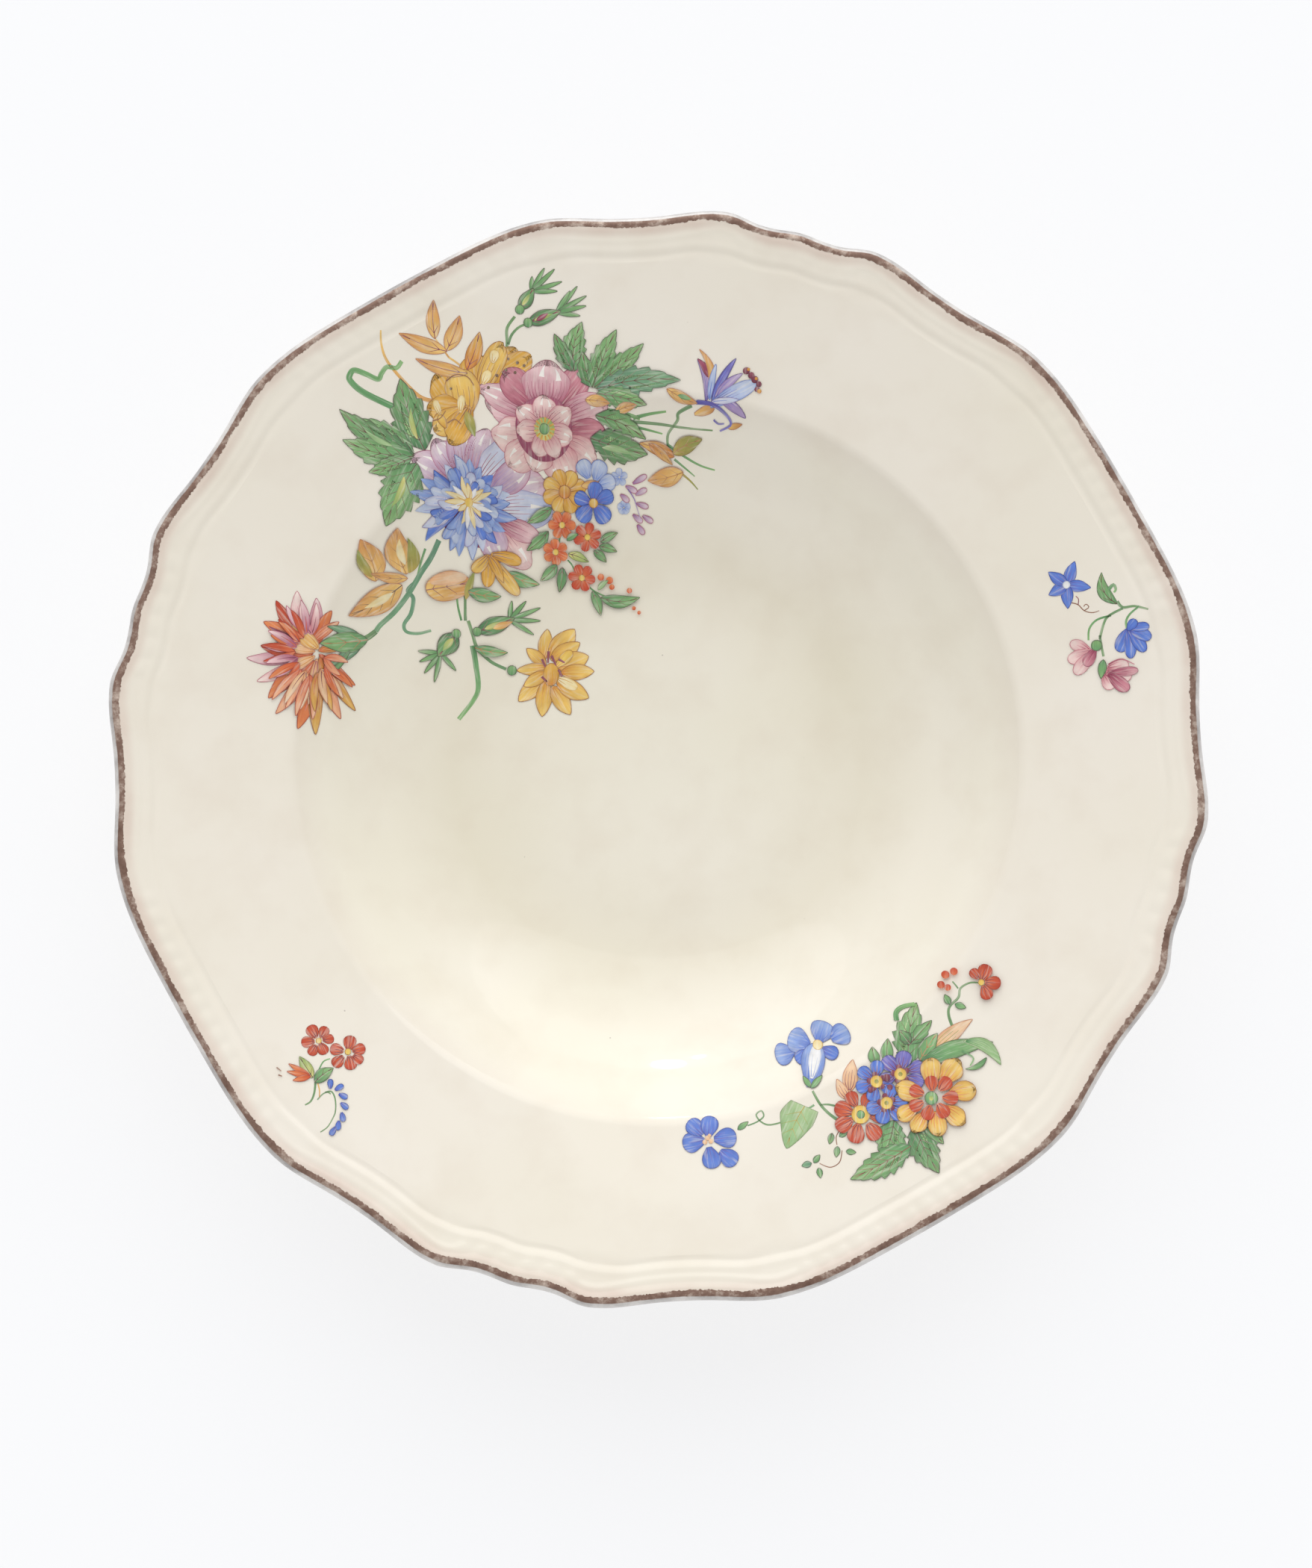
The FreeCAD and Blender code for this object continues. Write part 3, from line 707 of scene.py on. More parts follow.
    def flower(self, x, y, petals, ink, ray_ink=None, form="petal", rays=3, width=1.9, outline=True):
        """Petals given as (x, y, radius), each turned away from the flower's middle."""
        for px, py, radius in petals:
            size = math.hypot(px - x, py - y) or 1.0
            ahead = ((px - x) / size, (py - y) / size)
            back = min(size * 0.92, radius * 1.15)
            self.dab(form, ink, px - ahead[0] * back, py - ahead[1] * back, px + ahead[0] * radius,
                     py + ahead[1] * radius, radius * width, rays=rays, ray_ink=ray_ink, outline=outline)

    def star(self, x, y, count, reach, width, ink, turn=0.0, inner=0.4, form="petal", rays=2, ray_ink=None):
        """Equal petals round a middle."""
        for k in range(count):
            angle = math.radians(turn + 360.0 * k / count)
            c, s = math.cos(angle), math.sin(angle)
            self.dab(form, ink, x + c * inner, y + s * inner, x + c * reach, y + s * reach, width,
                     rays=rays, ray_ink=ray_ink, outline=False)

    def spot(self, x, y, radius, ink, outline=False):
        self.dab("round", ink, x, y - radius, x, y + radius, 2.0 * radius, outline=outline)

    def fringe(self, x, y, tips, ink, width=0.9):
        """Thin fingers from one point to each tip."""
        for tx, ty in tips:
            self.dab("blade", ink, x, y, tx, ty, width, outline=True)

    def dabs(self, rows):
        for form, ink, x0, y0, x1, y1, width, *rest in rows:
            extra = rest[1] if len(rest) > 1 else {}
            self.dab(form, ink, x0, y0, x1, y1, width, bend=rest[0] if rest else 0.0, **extra)

    def spots(self, ink, rows):
        for x, y, radius in rows:
            self.spot(x, y, radius, ink)

    def finish(self, name, slot, node):
        self.bm.normal_update()
        downward = [face for face in self.bm.faces if face.normal.z < 0.0]
        bmesh.ops.reverse_faces(self.bm, faces=downward)
        finish_piece(self.bm, name, ENAMEL, slot, node)


def rayed(count, ink):
    """A row's last item for a dab hatched from its foot."""
    return {"rays": count, "ray_ink": ink}


# A row's last item for a dab without outline, or for a leaf with that many veins.
BARE = {"outline": False}
V2 = {"veins": 2}
V3 = {"veins": 3, "vein_ink": "sepia"}
V4 = {"veins": 4}
V5T = {"veins": 5, "teeth": 6}     # with a toothed edge
# Each motif's material slot and the node that it replaces.
BOUQUET = ("enamel_rose", "bouquet_transfer")
POSY = ("enamel_blue", "posy_transfer")
BLUEBELL = ("enamel_blue", "bluebell_sprig_transfer")
SCARLET = ("enamel_scarlet", "scarlet_sprig_transfer")


def build_bouquet_stems():
    p = Print()
    p.stroke([(-58, 77.5), (-64.5, 80.5), (-67.5, 83), (-67.5, 84.5), (-66.5, 85.3), (-64, 84.5),
              (-61.5, 83.5), (-60.7, 84.8), (-59.5, 86.2), (-57.5, 86), (-56.3, 87.5)], 1.4, 0.9, "green")
    p.stroke([(-60.8, 94), (-60.7, 91), (-59.5, 87.5), (-56, 83.3), (-52.5, 80), (-49.5, 79)], 0.3, 1.0,
             "ochre")
    p.stroke([(-46, 88.5), (-44, 87.2), (-41.5, 85.2)], 0.4, 0.5, "ochre")
    p.stroke([(-49, 92.5), (-47.5, 90.5), (-46, 88.5)], 0.3, 0.4, "ochre")
    p.stroke([(-33, 86), (-33.3, 89), (-33.2, 92), (-33.2, 95), (-31.5, 97.5)], 0.75, 0.6, "stem")
    p.stroke([(-33, 91.5), (-32.2, 93.6), (-30.5, 95.3), (-28.5, 96)], 0.6, 0.5, "stem")
    p.stroke([(-5.5, 76.5), (-2, 77.3), (1.8, 77.8)], 0.8, 0.4, "green")
    p.stroke([(-6, 75.8), (0, 75.4), (6, 74.6), (12.2, 74)], 0.7, 0.3, "stem")
    p.stroke([(-5, 74.8), (-2, 74.2), (1, 73.5)], 0.6, 0.3, "green")
    p.stroke([(-12, 78), (-8, 77.5), (-4, 76.4)], 0.9, 0.7, "green")
    p.stroke([(7.5, 78.9), (4.6, 77.5), (4.3, 76), (2.3, 73.5), (2.2, 71)], 0.8, 0.5, "stem")
    p.stroke([(2, 71.5), (6, 69), (9.5, 67.2), (12.8, 66.2)], 0.6, 0.3, "green")
    p.stroke([(3.7, 68.5), (6, 66.8), (8.3, 65)], 0.5, 0.25, "green")
    p.stroke([(5.5, 65.5), (7.4, 64), (9, 62.3)], 0.5, 0.25, "olive")
    p.stroke([(-49, 50), (-51, 46), (-53, 43), (-56, 38), (-59, 34), (-62, 31), (-63, 29.5)], 1.1, 1.0,
             "blue_green")
    p.stroke([(-52, 48), (-53.2, 44.5), (-54, 41.5)], 0.5, 0.4, "green")
    p.stroke([(-54.5, 40.5), (-56, 38.8), (-54.9, 37.2), (-55.5, 34), (-57, 31.5), (-56.5, 29.9),
              (-54, 29.7), (-51.2, 30.5)], 1.0, 0.6, "blue_green")
    p.stroke([(-63, 29.5), (-64.5, 28.2), (-66, 27.3)], 1.1, 1.3, "stem")
    p.stroke([(-34.5, 22.3), (-38, 24), (-41, 27), (-42, 30), (-43, 33)], 0.7, 0.8, "stem")
    p.stroke([(-44.5, 33), (-45.2, 36), (-45.5, 39)], 0.5, 0.4, "green")
    p.stroke([(-43.6, 33), (-43.6, 37), (-43.5, 41)], 0.7, 0.5, "stem")
    p.stroke([(-42, 27.5), (-41.3, 23), (-40.8, 18), (-42, 15), (-45.2, 10.8)], 1.3, 0.9, "green")
    p.stroke([(-20.5, 47), (-19.6, 46), (-18.8, 44.5), (-17.8, 43.5)], 0.35, 0.3, "green")
    p.stroke([(-16.8, 42.5), (-15, 40.5), (-12.5, 39.2), (-9, 38.2)], 0.4, 0.3, "green")
    p.stroke([(-22, 53), (-22.5, 50.5), (-22.8, 49)], 0.4, 0.3, "green")
    p.finish("bouquet_stems", *BOUQUET)


def build_bouquet_leaves():
    p = Print(8)
    p.dabs([
        ("leaf", "ochre", -49, 92.5, -49.3, 100.6, 2.9, 0.3, {"veins": 2, "vein_ink": "wine"}),
        ("leaf", "ochre", -46.5, 89.8, -56.8, 93.4, 3.2, 0.4, {"veins": 2, "vein_ink": "wine"}),
        ("leaf", "ochre", -46.5, 90, -43.6, 97.4, 3.5, -0.3, {"veins": 2, "vein_ink": "wine"}),
        ("leaf", "autumn", -42, 86, -39.3, 94, 3.3, -0.3, {"veins": 2, "vein_ink": "wine"}),
        ("leaf", "ochre", -42, 85.2, -53.2, 88, 2.8, 0.5, {"veins": 2, "vein_ink": "wine"}),
        ("toothed", "dark_green", -51.5, 68.5, -56.8, 83.6, 8.2, 0.6, V5T),
        ("toothed", "green", -53.8, 67.3, -66.2, 74.8, 5.6, -0.4, V5T),
        ("toothed", "dark_green", -53.8, 67.3, -69.8, 76.8, 6.0, 1.4, V5T),
        ("toothed", "green", -54.0, 67.0, -69.2, 70.2, 6.2, 1.0, V5T),
        ("toothed", "green", -54.5, 66.6, -63.6, 63.4, 4.4, 0.3, V5T),
        ("toothed", "green", -53.2, 65.5, -60.2, 52.0, 8.6, -0.5, V5T),
        ("leaf", "lime", -53.0, 70.8, -54.4, 77.5, 1.2, 0.5, BARE),
        ("leaf", "lime", -56.0, 62.6, -58.8, 56.0, 1.5, 0.6, BARE),
        ("leaf", "pale_green", -58.5, 69.2, -64.5, 72.6, 1.1, 0.5, BARE),
        ("toothed", "green", -18.5, 86, -16.8, 96.4, 5.4, 0.9, V5T),
        ("toothed", "dark_green", -18.9, 86, -22.8, 93.8, 3.6, 0.2, {"veins": 3, "teeth": 4}),
        ("toothed", "dark_green", -14.5, 82.5, -16.6, 90.0, 4.0, 0.3, {"veins": 3, "teeth": 4}),
        ("toothed", "green", -14.5, 82.5, -9.2, 94.8, 5.2, 0.3, V5T),
        ("toothed", "green", -14.0, 82.5, -3.2, 91.8, 5.0, -0.2, V5T),
        ("toothed", "blue_green", -13.5, 82.2, 4.9, 84.2, 5.8, 0.9, V5T),
        ("toothed", "green", -13.5, 81.2, -2.6, 79.0, 4.6, 0.3, V5T),
        ("leaf", "ochre", -16.0, 79.8, -10.8, 79.2, 2.4, 0.2, V3),
        ("leaf", "ochre", -9.5, 77.6, -4.8, 79.0, 2.0, 0.2, V3),
        ("toothed", "green", -13.8, 76.8, -2.8, 72.4, 4.0, 0.8, V4),
        ("toothed", "dark_green", -15.0, 72.4, -2.4, 69.4, 6.6, -0.2, V5T),
        ("leaf", "pale_green", -12.5, 70.6, -5.8, 69.4, 1.3, 0.4, BARE),
        ("leaf", "ochre", 2.0, 82.2, 8.6, 79.2, 2.2, -0.3, V3),
        ("leaf", "green", 4.4, 80.9, 7.4, 80.0, 1.0, 0.0, BARE),
        ("leaf", "autumn", 3.6, 69, -4.0, 71.6, 2.6, -0.3, V3),
        ("leaf", "olive", 3.4, 69.6, 9.8, 72.2, 3.4, 0.4, V3),
        ("leaf", "ochre", 5.6, 65.8, -2.2, 64.2, 3.9, 0.3, V3),
        ("leaf", "autumn", -2, 71.5, 3.2, 67.4, 1.8, 0.2, V3),
        ("leaf", "ochre", -56.2, 42.3, -57.6, 51.6, 5.6, 0.9, V3),
        ("leaf", "olive", -55.6, 42.5, -55.6, 49.8, 2.7, -1.1, BARE),
        ("leaf", "cream", -56.3, 44.2, -57.4, 49.4, 1.7, 0.5, BARE),
        ("leaf", "ochre", -62.6, 40.2, -65.6, 48.6, 5.6, -0.7, V3),
        ("leaf", "olive", -63.4, 40.9, -66.2, 46.4, 2.2, 0.5, BARE),
        ("leaf", "ochre", -57.2, 39.8, -68.4, 32.3, 5.0, 0.5, V4),
        ("leaf", "cream", -59.2, 38.0, -65.2, 34.2, 1.5, 0.2, BARE),
        ("leaf", "ochre", -56, 41.4, -63.5, 41.6, 2.2, 0.4, V3),
        ("round", "ochre", -52.0, 39.2, -42.4, 41.4, 6.2, 0.0, {"veins": 3, "vein_ink": "wine"}),
        ("round", "peach", -51.2, 41.0, -43.2, 42.6, 2.8, 0.2, BARE),
        ("leaf", "olive", -43.4, 37.6, -41.4, 43.8, 1.6, 0.2, BARE),
        ("leaf", "green", -34.0, 43.8, -27.0, 41.4, 2.9, -0.5, V3),
        ("leaf", "green", -42.8, 39.4, -35.6, 38.6, 3.0, -0.4, V3),
        ("petal", "gold", -38.5, 47.5, -38.6, 40.6, 2.9, 0.2, rayed(3, "brown")),
        ("petal", "amber", -38, 47.2, -31.6, 39.0, 3.1, -0.2, rayed(3, "brown")),
        ("petal", "gold", -37.6, 47.6, -31.0, 46.2, 2.7, 0.2, rayed(3, "brown")),
        ("petal", "amber", -38.2, 47.4, -41.8, 43.8, 2.6, 0.2, rayed(3, "brown")),
        ("leaf", "gold", -38.2, 47.4, -35.0, 41.6, 2.2, 0.2, rayed(2, "brown")),
        ("leaf", "green", -41.5, 27, -34.2, 26.0, 2.4, -0.4, V3),
        ("toothed", "green", -24.8, 53, -29.6, 48.8, 2.6, 0.3, {"veins": 2, "teeth": 3}),
        ("leaf", "green", -13, 51, -9.2, 53.0, 1.8, 0.2, V2),
        ("leaf", "green", -13.3, 50, -9.4, 48.9, 1.8, 0.2, V2),
        ("leaf", "green", -14.5, 49, -11.8, 46.6, 1.8, 0.2, V2),
        ("leaf", "lime", -20.3, 48.3, -15.8, 46.6, 1.9, 0.2, V2),
        ("leaf", "green", -23, 45.8, -26.6, 42.2, 2.3, 0.2, V2),
        ("leaf", "dark_green", -21.7, 45.2, -22.4, 39.8, 2.2, 0.2, V2),
        ("leaf", "green", -14.9, 40, -13.0, 34.6, 2.0, 0.2, V2),
        ("leaf", "green", -13.0, 38.6, -4.2, 38.6, 2.9, -0.9, {"veins": 3}),
        ("leaf", "pale_green", -13.6, 40.4, -11.4, 42.4, 1.1, 0.2),
        ("leaf", "green", -24, 58, -29.4, 54.8, 2.4, 0.2, V2),
        ("leaf", "green", -20.6, 51.2, -18.2, 52.6, 1.3, 0.2),
    ])
    p.finish("bouquet_leaves", *BOUQUET)


def build_bouquet_buds():
    p = Print(6)
    for x, y, angle, length, width, tips in (
        (-30.4, 99.0, 56.0, 5.4, 2.9, [(-27.7, 106.0), (-25.0, 107.8), (-22.8, 107.6), (-21.2, 105.0),
                                       (-22.2, 103.0)]),
        (-28.6, 96.2, 20.0, 7.6, 3.1, [(-17.8, 104.0), (-19.4, 103.0), (-15.8, 102.0), (-17.2, 97.8),
                                       (-15.9, 99.9)]),
        (-41.0, 30.6, 21.0, 9.0, 3.8, [(-33.2, 37.6), (-30, 37.6), (-26.8, 36.2), (-26.8, 33.3),
                                       (-28.3, 30.2)]),
        (-45.6, 30.0, 232.0, 6.6, 4.4, [(-54.0, 25.8), (-53.7, 23.5), (-52.7, 21.0), (-50.5, 19.1),
                                        (-45.8, 21.8)]),
    ):
        c, s = math.cos(math.radians(angle)), math.sin(math.radians(angle))
        end = (x + c * length, y + s * length)
        p.fringe(x + c * length * 0.86, y + s * length * 0.86, tips, "green", 0.95)
        p.dab("leaf", "dark_green", x, y, end[0], end[1], width, veins=2, vein_ink="wine")
        p.dab("leaf", "lime", x + c * length * 0.2, y + s * length * 0.2, x + c * length * 0.75,
              y + s * length * 0.75, width * 0.34, outline=False)
        p.spot(x, y, 0.95, "green", True)
    p.dab("leaf", "crimson", -26.8, 96.6, -24.2, 98.2, 1.0, outline=False)
    p.dab("leaf", "ochre", -37.4, 31.4, -33.0, 33.0, 1.5, outline=False)
    p.spot(-33.2, 22.0, 1.05, "green", True)
    p.finish("bouquet_buds", *BOUQUET)


def build_gold_peony():
    p = Print(4)
    p.dabs([
        ("frill", "gold", -41.0, 82.0, -31.8, 90.2, 7.0, 0.0, rayed(5, "autumn")),
        ("frill", "gold", -38.6, 82.0, -28.6, 88.8, 6.0, 0.0, rayed(5, "autumn")),
        ("frill", "gold", -40.0, 81.0, -40.6, 89.4, 6.6, 0.0, rayed(5, "autumn")),
        ("frill", "amber", -39.4, 81.0, -34.6, 91.4, 5.2, 0.0, rayed(4, "brown")),
        ("frill", "gold", -43.0, 76.0, -48.6, 84.4, 7.6, 0.0, rayed(5, "autumn")),
        ("frill", "amber", -42.0, 76.0, -43.6, 85.4, 7.4, 0.0, rayed(5, "brown")),
        ("frill", "gold", -42.4, 77.0, -50.4, 77.4, 6.6, 0.0, rayed(5, "autumn")),
        ("frill", "amber", -41.8, 77.4, -49.0, 73.0, 5.8, 0.0, rayed(4, "autumn")),
        ("frill", "gold", -41.6, 78.0, -45.6, 70.2, 6.0, 0.0, rayed(4, "brown")),
        ("petal", "cream", -43.6, 76.8, -43.2, 80.4, 1.5, 0.0, rayed(2, "gold")),
        ("petal", "cream", -48.0, 76.2, -49.2, 79.2, 1.4, 0.0, rayed(2, "gold")),
        ("petal", "cream", -38.6, 83.0, -37.2, 85.8, 2.0, 0.0, rayed(2, "gold")),
        ("petal", "cream", -36.4, 87.6, -35.8, 90.2, 2.0, 0.0, rayed(2, "gold")),
        ("petal", "amber", -46.8, 73.4, -48.2, 76.0, 1.6, 0.0, {"outline": True}),
        ("leaf", "olive", -42.4, 77.0, -40.4, 71.6, 2.2, 0.0, BARE),
    ])
    p.layer += 1
    p.spots("umber", [(-31, 87.6, 0.32), (-29.5, 87.0, 0.3), (-33.5, 86.0, 0.3), (-31.5, 85.5, 0.3),
                      (-35.5, 84.8, 0.3), (-33.0, 88.4, 0.25), (-37.4, 82.2, 0.3), (-45.6, 81.8, 0.25)])
    p.stroke([(-46.6, 83.4), (-44.6, 84.8), (-42.0, 84.4), (-40.6, 82.6)], 0.22, 0.16, "brown", True)
    p.stroke([(-46.4, 74.4), (-44.8, 75.2), (-43.4, 74.2)], 0.2, 0.14, "brown")
    p.stroke([(-49.6, 74.8), (-48.0, 75.4), (-46.8, 77.0)], 0.2, 0.14, "brown")
    p.finish("bouquet_gold_peony", *BOUQUET)


def build_rose():
    p = Print(14)
    p.dabs([
        ("frill", "pink", -26.0, 77.0, -37.4, 79.4, 8.8, 0.0, rayed(9, "crimson")),
        ("frill", "pink", -26.0, 75.5, -39.0, 82.0, 5.6, -0.4, rayed(6, "crimson")),
        ("frill", "rose", -25.8, 78.0, -33.8, 85.2, 7.0, 0.0, rayed(8, "crimson")),
        ("frill", "rose", -23.0, 77.0, -16.6, 86.0, 6.6, 0.0, rayed(8, "maroon")),
        ("frill", "pink", -25.0, 77.0, -24.4, 87.6, 10.6, 0.0, rayed(11, "crimson")),
        ("frill", "pink", -22.0, 75.0, -11.8, 78.6, 8.4, 0.0, rayed(9, "crimson")),
        ("frill", "rose", -21.0, 73.0, -12.2, 73.4, 6.4, 0.0, rayed(7, "crimson")),
        ("frill", "blush", -26.0, 72.0, -36.2, 72.6, 7.4, 0.0, rayed(7, "rose")),
        ("frill", "blush", -26.0, 71.6, -33.0, 66.4, 6.8, 0.0, rayed(7, "rose")),
        ("frill", "blush", -22.0, 72.0, -14.6, 67.4, 7.2, 0.0, rayed(7, "rose")),
        ("frill", "blush", -23.5, 71.5, -20.6, 64.4, 7.6, 0.0, rayed(7, "rose")),
        ("frill", "blush", -25.2, 71.8, -27.6, 65.8, 6.2, 0.0, rayed(6, "rose")),
        ("round", "shade", -25.2, 67.4, -25.2, 80.6, 12.4, 0.0, BARE),
        ("frill", "blush", -25.2, 74.0, -30.8, 77.8, 4.6, 0.0, rayed(5, "crimson")),
        ("frill", "blush", -25.2, 74.0, -25.2, 80.4, 5.2, 0.0, rayed(6, "crimson")),
        ("frill", "blush", -25.0, 74.0, -19.6, 77.6, 4.6, 0.0, rayed(5, "crimson")),
        ("frill", "blush", -25.2, 73.6, -31.0, 73.2, 4.4, 0.0, rayed(5, "crimson")),
        ("frill", "blush", -25.2, 73.6, -19.4, 72.2, 4.6, 0.0, rayed(5, "crimson")),
        ("frill", "blush", -25.2, 73.4, -26.8, 68.6, 3.8, 0.0, rayed(4, "rose")),
        ("frill", "blush", -25.0, 73.4, -22.6, 68.6, 3.8, 0.0, rayed(4, "rose")),
    ])
    p.layer += 1
    p.spot(-25.2, 73.8, 2.2, "lime", False)
    p.layer += 1
    for k in range(13):
        angle = 2 * math.pi * k / 13
        p.stroke([(-25.2 + 1.3 * math.cos(angle), 73.8 + 1.3 * math.sin(angle)),
                  (-25.2 + 2.3 * math.cos(angle), 73.8 + 2.3 * math.sin(angle))], 0.3, 0.42, "gold")
    p.spot(-25.2, 73.8, 1.0, "green", True)
    p.finish("bouquet_rose", *BOUQUET)


def build_peony():
    p = Print(8)
    p.dabs([
        ("round", "shade", -40.0, 49.0, -39.0, 69.5, 21.0, 0.0, BARE),
        ("frill", "lilac", -43.0, 61.0, -53.6, 66.6, 7.2, 0.0, rayed(7, "rose")),
        ("frill", "lilac", -43.0, 62.0, -49.0, 70.4, 6.2, 0.0, rayed(6, "crimson")),
        ("frill", "lilac", -42.4, 62.0, -44.2, 73.4, 6.6, 0.0, rayed(7, "crimson")),
        ("frill", "lilac", -41.4, 62.0, -37.8, 72.6, 6.6, 0.0, rayed(7, "rose")),
        ("frill", "ice", -40.6, 61.0, -29.8, 70.6, 8.6, 0.0, rayed(9, "crimson")),
        ("frill", "lilac", -40.0, 59.0, -26.0, 63.2, 7.8, 0.0, rayed(9, "rose")),
        ("frill", "ice", -39.0, 57.0, -24.6, 57.6, 8.0, 0.0, rayed(9, "crimson")),
        ("frill", "lilac", -38.0, 60.0, -29.4, 66.4, 6.0, 0.0, rayed(7, "mauve")),
        ("frill", "blush", -38.0, 56.0, -29.6, 45.8, 8.4, 0.0, rayed(9, "crimson")),
        ("frill", "lilac", -39.4, 56.0, -35.6, 46.8, 6.2, 0.0, rayed(7, "mauve")),
        ("frill", "pink", -37.0, 55.4, -27.0, 51.4, 4.4, 0.0, rayed(6, "crimson")),
    ])
    p.finish("bouquet_lilac_peony", *BOUQUET)
    p = Print(34)
    shades = ["sky", "blue", "pale_blue", "sky", "ice"]
    for ring, (count, reach, width, first) in enumerate(((21, 11.6, 2.5, 4.0), (19, 9.0, 2.1, 3.0),
                                                         (14, 6.6, 1.8, 1.6))):
        for k in range(count):
            angle = 2 * math.pi * (k + 0.37 * ring) / count
            far = reach * (1.0 + 0.18 * wave(k * 1.9, ring + 2.0) - 0.20 * max(0.0, math.cos(angle)))
            far *= 1.0 - 0.14 * max(0.0, math.sin(angle))
            turn = angle + 0.22 * wave(k * 2.3, ring + 5.0)
            p.dab("petal" if ring else "leaf", shades[(k * 2 + ring) % 5],
                  -42.4 + first * math.cos(angle), 58.0 + 0.92 * first * math.sin(angle),
                  -42.4 + far * math.cos(turn), 57.6 + 0.94 * far * math.sin(turn),
                  width, bend=1.5 * wave(k * 3.1, ring), rays=2, ray_ink="violet" if k % 3 else "blue",
                  outline=k % 2 == 0)
            p.layer -= 2 if k % 2 == 0 else 1
            p.layer += (k % 3) - 1
        p.layer += 4
    for k in range(16):
        angle = 2 * math.pi * k / 16 + 0.3 * wave(k * 2.1, 3.0)
        far = 4.4 + 2.4 * wave(k * 1.7, 8.0) + 0.8 * (k % 2)
        p.dab("blade", "white" if k % 3 == 0 else "cream", -42.2, 58.2, -42.2 + far * math.cos(angle),
              58.2 + far * math.sin(angle), 1.1, bend=0.8 * wave(k * 2.9, 4.0), outline=k % 2 == 0)
    for k in range(9):
        angle = 2 * math.pi * k / 9
        p.stroke([(-42.2 + 0.8 * math.cos(angle), 58.2 + 0.8 * math.sin(angle)),
                  (-42.2 + 2.8 * math.cos(angle), 58.2 + 2.8 * math.sin(angle))], 0.22, 0.1, "gold")
    p.layer += 1
    p.spot(-42.2, 58.2, 0.9, "yellow")
    p.finish("bouquet_blue_aster", *BOUQUET)


def build_honeysuckle():
    p = Print(18)
    p.dabs([
        ("petal", "ochre", 8.2, 77.2, 12.4, 78.4, 1.8),
        ("blade", "mauve", 10.6, 79.6, 8.8, 88.4, 1.7, -1.1, rayed(2, "violet")),
        ("leaf", "crimson", 11.0, 84.8, 8.8, 88.6, 1.3, -0.4),
        ("blade", "ochre", 11.2, 81.0, 9.2, 90.6, 1.5, -1.6, rayed(2, "autumn")),
        ("blade", "pale_blue", 11.4, 80.0, 12.8, 87.4, 1.3, 0.2, rayed(1, "blue")),
        ("blade", "violet", 12.0, 79.4, 17.2, 88.6, 1.6, 0.5, rayed(2, "blue")),
        ("blade", "mauve", 12.6, 79.6, 18.6, 85.4, 1.8, 0.7, rayed(2, "violet")),
        ("petal", "pale_blue", 11.6, 78.8, 21.6, 83.4, 3.4, 0.0, rayed(5, "violet")),
        ("blade", "mauve", 13.4, 80.2, 19.4, 76.2, 1.8, 0.3, rayed(2, "violet")),
        ("blade", "ice", 12.0, 79.6, 17.8, 79.8, 1.3, 0.0, rayed(1, "blue")),
        ("leaf", "ochre", 15.6, 74.4, 18.6, 74.9, 1.1),
    ])
    p.stroke([(8.5, 79.5), (12, 79), (15, 77), (16.2, 75), (13.8, 73.8)], 0.9, 0.35, "violet", True)
    p.stroke([(12.4, 76.0), (13.4, 75.2), (14.7, 75.2)], 0.4, 0.25, "violet")
    p.spots("maroon", [(19.5, 86.0, 0.75), (20.6, 85.0, 0.7), (21.4, 84.1, 0.75), (22.3, 83.1, 0.6),
                       (21.9, 82.0, 0.55)])
    p.spots("autumn", [(20.0, 86.3, 0.32), (21.7, 84.3, 0.32), (22.4, 81.6, 0.45)])
    p.finish("bouquet_honeysuckle", *BOUQUET)


